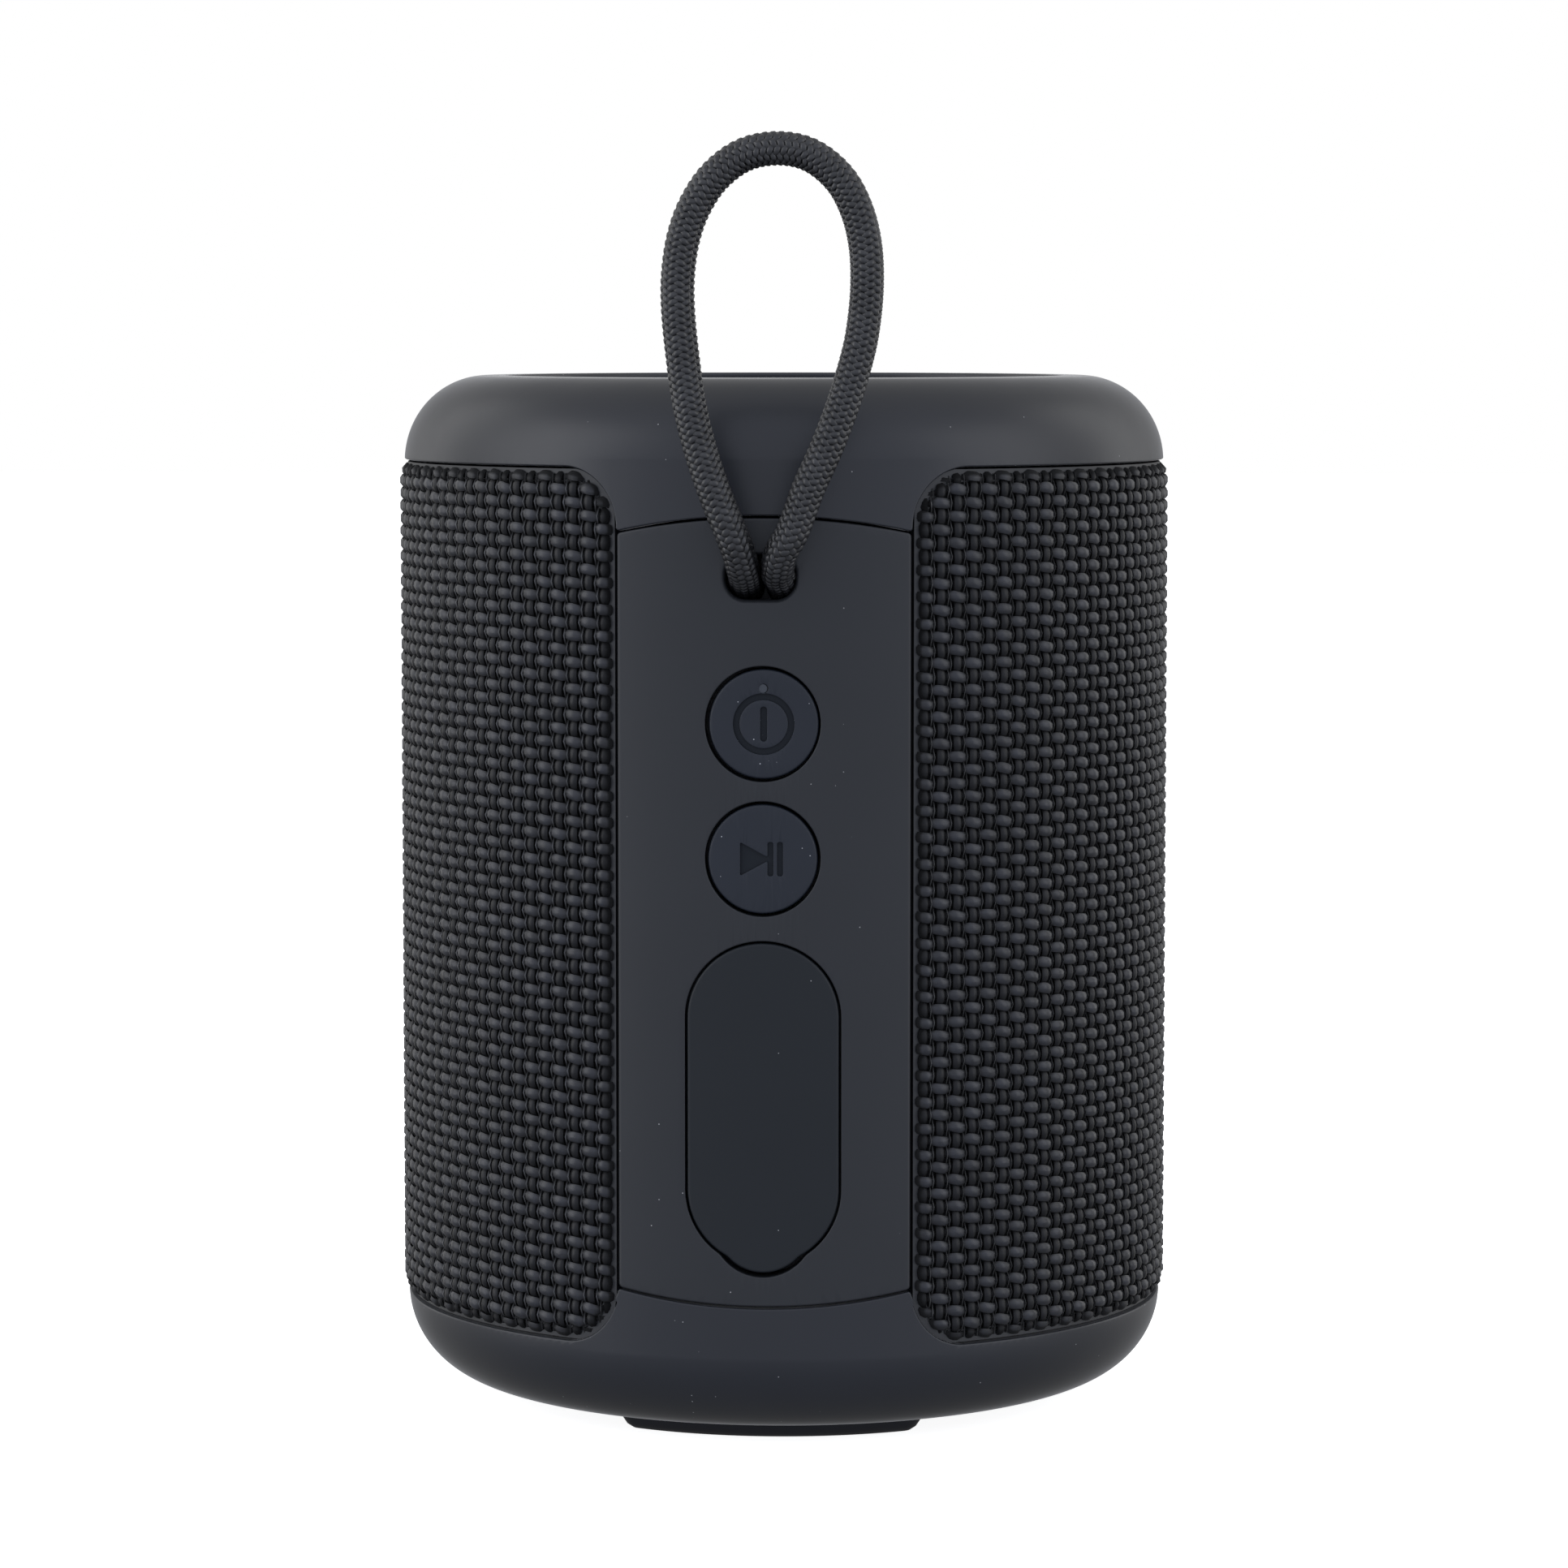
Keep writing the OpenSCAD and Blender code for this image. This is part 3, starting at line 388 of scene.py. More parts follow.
def spun(bm, profile, turns):                      # a profile of (radius, z) turned about the upright axis
    verts = [bm.verts.new((0, -r, z)) for r, z in profile]
    edges = [bm.edges.new(pair) for pair in zip(verts, verts[1:])]
    bmesh.ops.spin(bm, geom=verts + edges, cent=(0, 0, 0), axis=(0, 0, 1), angle=2 * math.pi,
                   steps=turns, use_merge=True)


def outwards(bm):
    bmesh.ops.remove_doubles(bm, verts=bm.verts, dist=0.002)
    bmesh.ops.recalc_face_normals(bm, faces=bm.faces)


# Route of the loop outside the slot, then one tail, in millimetres.
loopRoute = [
    (-2.05, -45.8, 100.8), (-2.2, -47.6, 101.8), (-2.6, -49.3, 103.6), (-3.4, -50.3, 105.8),
    (-4.3, -50.7, 108), (-5.6, -50.8, 111.5), (-6.7, -50.7, 115), (-7.8, -50.4, 119.5),
    (-8.6, -50, 125), (-9.1, -49.6, 130), (-9.1, -49.3, 134), (-8.5, -49, 138),
    (-7.2, -48.8, 141.5), (-5, -48.6, 144.7), (-1.8, -48.5, 147), (2, -48.5, 147.7),
    (5.6, -48.5, 146.9), (8.7, -48.6, 144.4), (10.6, -48.8, 141), (11.6, -49, 137),
    (11.8, -49.3, 132.5), (11.4, -49.7, 128), (10.7, -50.1, 124.5), (9.2, -50.4, 119.5),
    (7.3, -50.7, 114.5), (5.5, -50.8, 110.5), (4.4, -50.7, 107.5), (3.4, -50.3, 105),
    (2.3, -49.3, 103.2), (1.85, -47.6, 101.7), (1.7, -45.8, 100.8)]
tailRoute = [(2.05, -43, 99.7), (2.05, -40.5, 99), (2.05, -38, 98.8), (2.05, -31, 98.8)]

cordSet = {"diameter": 3.9, "lay": 4.8, "strands": 6, "strandHalf": 0.36, "strandThick": 0.23,
           "lift": 0.15, "perCrossing": 3, "sides": 6, "coreR": 1.45, "coreSides": 16, "step": 0.4,
           "exit": (0, -0.0454, 0.1006), "bentBy": (0, -0.0505, 0.1079)}


def smoothRoute(points, step):                     # Catmull-Rom through the points, at even steps
    points = [Vector(p) for p in points]
    points = [2 * points[0] - points[1]] + points + [2 * points[-1] - points[-2]]
    fine = []
    for a, b, c, d in zip(points, points[1:], points[2:], points[3:]):
        for k in range(24):
            t = k / 24
            fine.append(0.5 * (2 * b + (c - a) * t + (2 * a - 5 * b + 4 * c - d) * t * t
                               + (3 * b - a - 3 * c + d) * t ** 3))
    fine.append(points[-2])
    lengths = np.concatenate([[0], np.cumsum([(q - p).length for p, q in zip(fine, fine[1:])])])
    count = round(lengths[-1] / step)
    at = np.linspace(0, lengths[-1], count + 1)
    xyz = np.array(fine)
    return np.stack([np.interp(at, lengths, xyz[:, i]) for i in range(3)], 1), lengths[-1]


def routeFrames(path):                             # two directions across the path that never twist
    ways = np.gradient(path, axis=0)
    ways /= np.linalg.norm(ways, axis=1)[:, None]
    across = Vector((1, 0, 0)).cross(Vector(ways[0])).normalized()
    first, second = [], []
    for way in ways:
        w = Vector(way)
        across = (across - w * across.dot(w)).normalized()
        first.append(across[:])
        second.append(w.cross(across)[:])
    return np.array(first), np.array(second)


def makeLanyard():
    c = cordSet
    tail = [(-x, y, z) for x, y, z in reversed(tailRoute)]
    path, length = smoothRoute(tail + loopRoute + tailRoute, c["step"])
    first, second = routeFrames(path)
    strandR = c["diameter"] / 2 - c["strandThick"] - c["lift"]
    crossings = 2 * c["strands"] * length / c["lay"]
    along = round(crossings * c["perCrossing"])
    bm = bmesh.new()
    uvLayer = bm.loops.layers.uv.new("yarn")

    def place(verts, u, angle, radial):            # from (length, angle, radius) to the route
        at = np.clip(u / length * (len(path) - 1), 0, len(path) - 1)
        low = np.minimum(at.astype(int), len(path) - 2)
        part = (at - low)[:, None]
        middle = path[low] * (1 - part) + path[low + 1] * part
        a = first[low] * (1 - part) + first[low + 1] * part
        b = second[low] * (1 - part) + second[low + 1] * part
        where = middle + radial[:, None] * (np.cos(angle)[:, None] * a + np.sin(angle)[:, None] * b)
        for v, p in zip(verts, where):
            v.co = p

    def strip(alongCount, aroundCount, shift=0.0): # a flat grid that becomes one strand
        made = bmesh.ops.create_grid(bm, x_segments=alongCount, y_segments=aroundCount, size=0.5)["verts"]
        u = np.array([v.co.x + 0.5 for v in made]) * length
        v = np.array([v.co.y + 0.5 for v in made]) * 2 * math.pi
        for face in {f for vert in made for f in vert.link_faces}:
            for loop in face.loops:
                loop[uvLayer].uv = ((loop.vert.co.x + 0.5) * length + shift, loop.vert.co.y + 0.5)
        return made, u, v

    for way in (1, -1):
        for k in range(c["strands"]):
            verts, u, v = strip(along, c["sides"], 0 if way > 0 else c["lay"] / c["strands"] / 2)
            lift = way * c["lift"] * np.cos(math.pi * 2 * c["strands"] * u / c["lay"])
            slope = 2 * math.pi * strandR / c["lay"] * way
            across = c["strandHalf"] * np.cos(v) / math.hypot(slope, 1)
            radial = strandR + lift + c["strandThick"] * np.sin(v)
            angle = way * 2 * math.pi * u / c["lay"] + 2 * math.pi * k / c["strands"] - across / strandR
            place(verts, u + across * slope, angle, radial)
    verts, u, v = strip(len(path) - 1, c["coreSides"])
    place(verts, u, v, np.full(len(u), c["coreR"]))
    bmesh.ops.remove_doubles(bm, verts=bm.verts, dist=0.004)
    bmesh.ops.holes_fill(bm, edges=[e for e in bm.edges if e.is_boundary], sides=40)
    bmesh.ops.recalc_face_normals(bm, faces=bm.faces)
    piece = finishPiece("lanyard", bm, [finish["braid"]], None,
                        ["lanyard_loop", "lanyard_tails"], sharp=80, even=False)
    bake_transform(piece)
    return length


cordLength = makeLanyard()
print("lanyard braided,", round(cordLength), "mm of cord")

# Caps and trim disc

seamGap = 0.25
spineSet = {"halfAngle": 21.7, "sideTurn": 0.3, "cornerR": 6.5, "topMiddle": 106.9, "topSide": 105.1,
            "bottomMiddle": 17.5, "bottomSide": 19.1, "roll": 0.25, "holeRoll": 0.16, "bend": 0.8, "bendTo": 17}
capSet = {"turns": 240, "wall": 2.2, "join": 1.0, "roll": 0.22, "rimR": 33.0, "rimRoll": 0.35,
          "shoulder": capHigh.z - topSeam, "heel": bottomSeam - heelLow.z, "dish": 3.0, "floor": 2.2,
          "raise": 0.3, "rim": 0.14, "tip": 0.4, "cornerSteps": 24, "tipSteps": 6, "archSteps": 60,
          "sideSteps": 150, "roundSteps": 28}


def archRadius(middle, side, halfWidth):           # circle through a seam's middle and its two ends
    rise = abs(middle - side)
    return (halfWidth ** 2 + rise ** 2) / (2 * rise)


def archLine(middle, side, halfWidth, count):      # points of a curved seam from left to right
    r = archRadius(middle, side, halfWidth)
    up = 1 if middle > side else -1
    xs = [halfWidth * (2 * k / count - 1) for k in range(count + 1)]
    return [(x, middle - up * (r - math.sqrt(r * r - x * x))) for x in xs]


def capOutline(up, edgeZ, middle, side):
    # lower edge of a cap, unrolled from the middle of the back to the middle of the back
    s, c = spineSet, capSet
    seam = topSeam if up > 0 else bottomSeam
    tip = c["tip"]
    cornerR = s["cornerR"] + seamGap
    cornerS = math.radians(s["halfAngle"]) * clothR + s["cornerR"]
    edge = cornerS - cornerR
    half = math.pi * bodyR
    right = []
    for k in range(c["cornerSteps"] + 1):
        a = math.pi / 2 * k / c["cornerSteps"]
        right.append((cornerS - cornerR * math.sin(a), seam - up * (s["cornerR"] - cornerR * math.cos(a))))
    for k in range(1, c["tipSteps"] + 1):          # soft tip of the tongue
        a = math.pi / 2 * k / c["tipSteps"]
        z = side + up * (tip + seamGap / 2) - up * tip * math.sin(a)
        right.append((edge - tip * (1 - math.cos(a)), z))
    arch = archLine(middle + up * seamGap / 2, side + up * seamGap / 2, edge - tip, c["archSteps"])
    count = c["sideSteps"]
    run = [(half * (1 - k / count) + cornerS * k / count, seam + up * seamGap) for k in range(count)]
    leftSide = [(-x, z) for x, z in run + right]
    return leftSide + arch[1:-1] + right[::-1] + run[::-1] + [(half, edgeZ), (-half, edgeZ)]


def capShell(name, up, profile, middle, side, cadNode):
    c = capSet
    seam = topSeam if up > 0 else bottomSeam
    curve = c["shoulder"] if up > 0 else c["heel"]
    edgeZ = seam + up * c["join"]
    stretch = (curve + c["raise"]) / curve if up > 0 else 1
    bm = bmesh.new()
    border = capOutline(up, edgeZ, middle, side)
    face = bm.faces.new([bm.verts.new((x, 0, z)) for x, z in border])
    made = bmesh.ops.extrude_face_region(bm, geom=[face])["geom"]
    moved = [g for g in made if isinstance(g, bmesh.types.BMVert)]
    bmesh.ops.translate(bm, vec=(0, c["wall"], 0), verts=moved)
    half = math.pi * bodyR

    def onEdge(part):                              # lies on the joined edge or on the seam at the back
        return (all(abs(v.co.z - edgeZ) < 0.01 for v in part.verts)
                or all(abs(abs(v.co.x) - half) < 0.01 for v in part.verts))

    rim = [e for e in bm.edges if all(v.co.y < 0.01 for v in e.verts) and not onEdge(e)]
    bmesh.ops.bevel(bm, geom=rim, offset=c["roll"], offset_type="OFFSET", segments=4, profile=0.5,
                    affect="EDGES", material=-1, clamp_overlap=False)
    cutAcross(bm, 0, [half * k / (c["turns"] / 2) for k in range(1 - c["turns"] // 2, c["turns"] // 2)])
    bmesh.ops.delete(bm, geom=[f for f in bm.faces if onEdge(f)], context="FACES")
    for v in bm.verts:
        past = max(0, (v.co.z - seam) * up) / stretch
        r = bodyR - curve + math.sqrt(curve ** 2 - past ** 2) - v.co.y
        angle = v.co.x / bodyR
        v.co = (r * math.sin(angle), -r * math.cos(angle), v.co.z)
    spun(bm, profile, c["turns"])
    bmesh.ops.remove_doubles(bm, verts=bm.verts, dist=0.004)
    bmesh.ops.recalc_face_normals(bm, faces=bm.faces)
    for face in bm.faces:                          # crisp, slightly polished crest
        if min(v.co.z for v in face.verts) > capHigh.z + c["raise"] - c["rim"]:
            face.material_index = 1
    return finishPiece(name, bm, [finish["cap"], finish["rim"]], "root", [cadNode])


def roundOf(centreR, centreZ, r, start, end, count):
    angles = [math.radians(start + (end - start) * k / count) for k in range(count + 1)]
    return [(centreR + r * math.cos(a), centreZ + r * math.sin(a)) for a in angles]


def topProfile():
    c = capSet
    shoulder, wall = c["shoulder"], c["wall"]
    centreR = bodyR - shoulder
    stretch = (shoulder + c["raise"]) / shoulder
    startAngle = math.degrees(math.asin(c["join"] / stretch / shoulder))
    outer = [(r, topSeam + (z - topSeam) * stretch)
             for r, z in roundOf(centreR, topSeam, shoulder, startAngle, 90, c["roundSteps"])]
    crest = capHigh.z + c["raise"]
    lip = roundOf(c["rimR"] + c["rimRoll"], crest - c["rimRoll"], c["rimRoll"], 90, 180, 5)
    floorZ = capHigh.z - c["dish"]
    inner = roundOf(centreR, topSeam, shoulder - wall, 60, startAngle + 3, 10)
    joinInner = (centreR + math.sqrt(shoulder ** 2 - (c["join"] / stretch) ** 2) - wall, topSeam + c["join"])
    below = floorZ - c["floor"]
    return (outer + [((centreR + c["rimR"]) / 2, crest)] + lip
            + [(c["rimR"], floorZ), (0, floorZ), (0, below), (inner[0][0] - 1.5, below)] + inner + [joinInner])


def bottomProfile():
    c = capSet
    heel, wall = c["heel"], c["wall"]
    centreR = bodyR - heel
    startAngle = math.degrees(math.asin(c["join"] / heel))
    outer = roundOf(centreR, bottomSeam, heel, -startAngle, -90, c["roundSteps"])
    low = heelLow.z
    inner = roundOf(centreR, bottomSeam, heel - wall, -90, -startAngle - 3, 12)
    joinInner = (bodyR - heel + math.sqrt(heel ** 2 - c["join"] ** 2) - wall, bottomSeam - c["join"])
    return outer + [(centreR * k / 4, low) for k in (3, 2, 1, 0)] + [(0, low + wall)] + inner + [joinInner]


capShell("topCap", 1, topProfile(), spineSet["topMiddle"], spineSet["topSide"], "top_cap")
capShell("bottomCap", -1, bottomProfile(), spineSet["bottomMiddle"], spineSet["bottomSide"], "bottom_cap")
print("caps turned")

trimSet = {"r": 32.8, "edge": 0.5, "turns": 192}


def makeTrim():
    low, high = boxOf("top_trim")
    t = trimSet
    bm = bmesh.new()
    profile = [(0, high.z), (t["r"] * 0.5, high.z), (t["r"] - 3, high.z)]
    profile += roundOf(t["r"] - t["edge"], high.z - t["edge"], t["edge"], 90, 0, 5)
    profile += [(t["r"], low.z), (0, low.z)]
    spun(bm, profile, t["turns"])
    outwards(bm)
    return finishPiece("topTrim", bm, [finish["cap"]], "root", ["top_trim"])


makeTrim()

footSet = {"outer": 34.0, "width": 5.4, "halfAngle": 28.2, "roll": 2.05, "sideSteps": 60, "endSteps": 16}


def makeFoot(name, cadNode, turn):
    f = footSet
    low, high = boxOf(cadNode)
    middle = f["outer"] - f["width"] / 2
    end = f["width"] / 2
    sides, ends = f["sideSteps"], f["endSteps"]
    shape = []
    for r, way in ((f["outer"], 1), (f["outer"] - f["width"], -1)):
        for k in range(sides + 1):
            a = math.radians(f["halfAngle"] * (2 * k / sides - 1) * way)
            shape.append(Vector((r * math.sin(a), -r * math.cos(a))))
        tip = math.radians(f["halfAngle"] * way)
        centre = Vector((middle * math.sin(tip), -middle * math.cos(tip)))
        for k in range(1, ends):
            a = tip - math.pi / 2 + (math.pi * k / ends + (0 if way > 0 else math.pi))
            shape.append(centre + end * Vector((math.cos(a), math.sin(a))))
    bm = bmesh.new()
    under, top = rolledEdge(bm, shape, 1, f["roll"], high.z - low.z, steps=4)
    fill(bm, under)
    fill(bm, top)
    bmesh.ops.remove_doubles(bm, verts=bm.verts, dist=0.002)
    for v in bm.verts:                             # depth is measured upwards from the ground
        v.co = (v.co.x, v.co.z, low.z + v.co.y)
    bmesh.ops.rotate(bm, verts=bm.verts, cent=(0, 0, 0), matrix=Matrix.Rotation(math.radians(turn), 3, "Z"))
    bmesh.ops.recalc_face_normals(bm, faces=bm.faces)
    return finishPiece(name, bm, [finish["foot"]], "root", [cadNode])


for footName, footNode, footTurn in (("footFront", "foot_front", 0), ("footRight", "foot_right", 120),
                                     ("footLeft", "foot_left", 240)):
    makeFoot(footName, footNode, footTurn)
print("trim and feet made")

# Spine panel, buttons and port cover

coverSet = {"width": 17.2, "top": 59.0, "bottom": 22.3, "tabR": 5.4, "tabDrop": 0.8, "neckR": 2.4,
            "gap": 0.22, "tabGap": 0.5, "roll": 0.32, "thick": 2.0, "foldZ": 51.4, "foldHalf": 0.8,
            "web": 0.8, "ribOut": 1.6, "ribWall": 1.3, "ribDeep": 3.7, "ribSunk": 0.3, "ribBelow": 1.4,
            "recess": 0.06, "bend": 0.7, "bendTo": 8.8, "foldBend": 0.2, "foldTo": 1.2}
buttonSet = {"r": 6.17, "holeR": 6.5, "roll": 0.3, "recess": 0.12, "deep": 3.0, "engrave": 0.28,
             "cutRoll": 0.05, "steps": 96, "bend": 0.47, "bendFrom": -6.37, "bendTo": 6.41}
slotSet = {"width": 7.9, "height": 5.0, "corner": 2.3, "x": -0.25, "z": 100.1, "roll": 0.5}


def coverOutline(gap, tabGap):
    c = coverSet
    r = c["width"] / 2 + gap
    lowCentre = c["bottom"] + c["width"] / 2
    highCentre = c["top"] - c["width"] / 2
    tabR = c["tabR"] + tabGap
    tabCentre = c["bottom"] - c["tabDrop"] + c["tabR"]
    apart = lowCentre - tabCentre
    meetZ = lowCentre - (apart ** 2 + r ** 2 - tabR ** 2) / (2 * apart)
    meetX = math.sqrt(r ** 2 - (meetZ - lowCentre) ** 2)
    bigEnd = math.degrees(math.atan2(meetZ - lowCentre, meetX))
    tabEnd = math.degrees(math.atan2(meetZ - tabCentre, meetX))
    clear = 7                                      # degrees left free on both arcs for the neck's curve
    right = arc(tabCentre, tabR, -90, tabEnd - clear, 16) + [(meetX, meetZ, c["neckR"])]
    right += arc(lowCentre, r, bigEnd + clear, 0, 20) + arc(highCentre, r, 0, 90, 30)
    left = [(-x, z, k) for x, z, k in reversed(right[1:-1])]
    return outline(right + left, spacing=0.6)


def spineOutline():
    s = spineSet
    half = bodyR * math.sin(math.radians(s["halfAngle"] - s["sideTurn"]))
    top = archLine(s["topMiddle"] - seamGap / 2, s["topSide"] - seamGap / 2, half, 24)
    low = archLine(s["bottomMiddle"] + seamGap / 2, s["bottomSide"] + seamGap / 2, half, 24)
    corners = [(x, z, 0) for x, z in low[1:-1]] + [(*low[-1], 0.5), (*top[-1], 0.5)]
    corners += [(x, z, 0) for x, z in reversed(top[1:-1])] + [(*top[0], 0.5), (*low[0], 0.5)]
    return outline(corners, spacing=0.8)


def middleZ(cadNode):
    low, high = boxOf(cadNode)
    return (low.z + high.z) / 2


powerZ, playZ = middleZ("power_button"), middleZ("play_button")
fourCorners = ((-1, -1), (1, -1), (1, 1), (-1, 1))


def makeSpine():
    bm = bmesh.new()
    s, hole, c, b = spineSet, slotSet, coverSet, buttonSet
    wall = capSet["wall"]
    w, h = hole["width"] / 2, hole["height"] / 2
    slotShape = outline([(hole["x"] + x * w, hole["z"] + z * h, hole["corner"]) for x, z in fourCorners])
    holes = [circle(powerZ, b["holeR"], b["steps"]), circle(playZ, b["holeR"], b["steps"]),
             coverOutline(c["gap"], c["tabGap"])]
    front, back = rolledEdge(bm, spineOutline(), 1, s["roll"], wall, narrow=1 - wall / bodyR)
    for shape, roll in [(slotShape, hole["roll"])] + [(shape, s["holeRoll"]) for shape in holes]:
        one, two = rolledEdge(bm, shape, -1, roll, wall)
        front += one
        back += two
    fill(bm, front)
    fill(bm, back)
    outwards(bm)
    cutAcross(bm, 0, steps(-s["bendTo"], s["bendTo"], s["bend"]))
    drape(bm, bodyR)
    return finishPiece("spinePanel", bm, [finish["spine"]], "root", ["spine_panel"], sharp=50)


makeSpine()


def buttonBlank(bm, z):
    b = buttonSet
    return rolledEdge(bm, circle(z, b["r"], b["steps"]), 1, b["roll"], b["deep"])


def engraved(bm, shape, side):
    return rolledEdge(bm, shape, side, buttonSet["cutRoll"], buttonSet["engrave"], steps=2)


def finishButton(bm, name, cadNode, shift=0.0):
    b = buttonSet
    outwards(bm)
    bmesh.ops.translate(bm, vec=(shift, 0, 0), verts=bm.verts)
    cutAcross(bm, 0, steps(b["bendFrom"], b["bendTo"], b["bend"]))
    drape(bm, bodyR - b["recess"])
    return finishPiece(name, bm, [finish["button"], finish["icon"]], cadNode, [cadNode],
                       sharp=50)


powerIcon = {"ringOut": 3.45, "ringIn": 2.72, "barHalf": 0.38, "barLong": 1.95, "endFlat": 0.02,
             "lampR": 0.5, "lampGap": 0.03, "shift": 0.12}
playIcon = {  # corners of the arrow with its first bar, and of the second bar: x, height and radius
    "arrow": [(-2.54, -1.9, 0.12), (0.4, -0.3, 0.12), (0.55, -0.3, 0.07), (0.55, -1.92, 0.25),
              (1.2, -1.92, 0.25), (1.2, 1.92, 0.25), (0.55, 1.92, 0.25), (0.55, 0.3, 0.07),
              (0.4, 0.3, 0.12), (-2.54, 1.9, 0.12)],
    "bar": [(1.62, -1.92, 0.25), (2.28, -1.92, 0.25), (2.28, 1.92, 0.25), (1.62, 1.92, 0.25)],
}


def makePowerButton():
    i = powerIcon
    bm = bmesh.new()
    face, end = buttonBlank(bm, powerZ)
    ringOut, ringOutFloor = engraved(bm, circle(powerZ, i["ringOut"], 72), -1)
    ringIn, ringInFloor = engraved(bm, circle(powerZ, i["ringIn"], 64), 1)
    w, h = i["barHalf"], i["barLong"]
    barShape = outline([(x * w, powerZ + z * h, w - i["endFlat"]) for x, z in fourCorners], arcStep=0.1)
    bar, barFloor = engraved(bm, barShape, -1)
    lamp, lampEnd = engraved(bm, circle(middleZ("power_light_guide"), i["lampR"] + i["lampGap"], 32), -1)
    fill(bm, face + ringOut + lamp)
    fill(bm, ringIn + bar)
    fill(bm, ringOutFloor + ringInFloor, 1)
    fill(bm, barFloor, 1)
    fill(bm, lampEnd)
    fill(bm, end)
    return finishButton(bm, "powerButton", "power_button", i["shift"])


def makePlayButton():
    bm = bmesh.new()
    face, end = buttonBlank(bm, playZ)
    cuts = []
    for corners in (playIcon["arrow"], playIcon["bar"]):
        shape = outline([(x, playZ + up, r) for x, up, r in corners], spacing=0.3, arcStep=0.1)
        one, floor = engraved(bm, shape, -1)
        cuts += one
        fill(bm, floor, 1)
    fill(bm, face + cuts)
    fill(bm, end)
    return finishButton(bm, "playButton", "play_button")


makePowerButton()
makePlayButton()
print("spine panel and buttons made")


def makeCover():
    c = coverSet
    bm = bmesh.new()
    front, back = rolledEdge(bm, coverOutline(0, 0), 1, c["roll"], c["thick"], steps=5)
    fill(bm, front)
    fill(bm, back)
    inset = c["width"] / 2 - c["ribOut"]
    lowZ, highZ = c["bottom"] + c["ribOut"], c["foldZ"] - c["ribBelow"]
    outer = outline([(-inset, lowZ, inset - 0.1), (inset, lowZ, inset - 0.1), (inset, highZ, 2),
                     (-inset, highZ, 2)])
    ribBase = c["thick"] - c["ribSunk"]
    outerTop, outerBase = ringOf(bm, outer, c["ribDeep"]), ringOf(bm, outer, ribBase)
    inner = grown(outer, -c["ribWall"])
    innerTop, innerBase = ringOf(bm, inner, c["ribDeep"]), ringOf(bm, inner, ribBase)
    for one, two in ((outerTop, outerBase), (innerTop, innerBase), (outerTop, innerTop),
                     (outerBase, innerBase)):
        bmesh.ops.bridge_loops(bm, edges=one + two)
    outwards(bm)
    cutAcross(bm, 0, steps(-c["bendTo"], c["bendTo"], c["bend"]))
    cutAcross(bm, 2, steps(c["foldZ"] - c["foldTo"], c["foldZ"] + c["foldTo"], c["foldBend"]))
    for v in bm.verts:                             # thin web along the fold line
        folds = abs(v.co.z - c["foldZ"]) < c["foldHalf"] + 0.01
        if folds and c["web"] < v.co.y < c["ribDeep"] - 0.1:
            v.co.y = c["web"]
    drape(bm, bodyR - c["recess"])
    piece = finishPiece("portCover", bm, [finish["cover"]], None,
                        ["port_cover", "port_cover_anchor"], sharp=50)
    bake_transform(piece)
    return piece


makeCover()
print("port cover made")

# Grille fabric

weaveSet = {"columns": 122, "rows": 66, "sides": 6, "tilt": 0.1, "uneven": 0.05, "slack": 3, "deep": 0.55,
            "inset": 0.4, "fold": 1.3, "tuck": 0.7}
weftSet = {"half": 0.51, "swell": 0.1, "thick": 0.26, "wave": 0.3, "perColumn": 4}
warpSet = {"half": 0.46, "swell": 0.04, "thick": 0.21, "wave": 0.24, "perRow": 3}
threadSet = {"r": 0.085, "wave": 0.3, "sides": 3, "perRow": 2, "apart": 0.17}
liningSet = {"along": 240, "up": 100, "behind": -0.36, "thick": 0.12, "past": 1}
clothHalf = clothR * math.radians(180 - spineSet["halfAngle"] - spineSet["sideTurn"])
clothTall = (topSeam - bottomSeam) / 2
clothMiddle = (topSeam + bottomSeam) / 2
columnPitch = 2 * clothHalf / weaveSet["columns"]
rowPitch = 2 * clothTall / weaveSet["rows"]
clothBase = clothR - weaveSet["deep"]              # middle of the weave


def edgeDistance(s, z):                            # below 0 inside the panel's rounded outline
    r = spineSet["cornerR"]
    qs, qz = np.abs(s) - (clothHalf - r), np.abs(z) - (clothTall - r)
    return np.hypot(np.maximum(qs, 0), np.maximum(qz, 0)) + np.minimum(np.maximum(qs, qz), 0) - r


def rollCloth(co):
    # co holds length round the body, height over the weave's middle, and height above the panel's middle
    w = weaveSet
    s, lift, z = co[:, 0], co[:, 1], co[:, 2]
    s = s + w["uneven"] * np.sin(1.9 * z + 0.6 * s) * np.sin(0.83 * s - 0.4 * z)
    z = z + w["uneven"] * np.sin(2.3 * s - 0.5 * z) * np.sin(0.71 * z + 0.3 * s)
    step = 0.01
    inside = -edgeDistance(s, z) - w["inset"]
    outS = (edgeDistance(s + step, z) - edgeDistance(s - step, z)) / (2 * step)
    outZ = (edgeDistance(s, z + step) - edgeDistance(s, z - step)) / (2 * step)
    size = np.maximum(np.hypot(outS, outZ), 1e-6)
    outS, outZ = outS / size, outZ / size
    past = np.maximum(w["fold"] - inside, 0)
    turn = np.minimum(past / w["fold"], math.pi / 2)
    rest = np.maximum(past - w["fold"] * math.pi / 2, 0)
    shift = w["fold"] * np.sin(turn) + lift * np.sin(turn) - past
    s = s + outS * shift
    z = z + outZ * shift
    r = clothBase + lift * np.cos(turn) - w["fold"] * (1 - np.cos(turn)) - rest
    angle = s / clothR + math.pi
    placed = np.stack([r * np.sin(angle), -r * np.cos(angle), z + clothMiddle], 1)
    return placed, rest > w["tuck"]


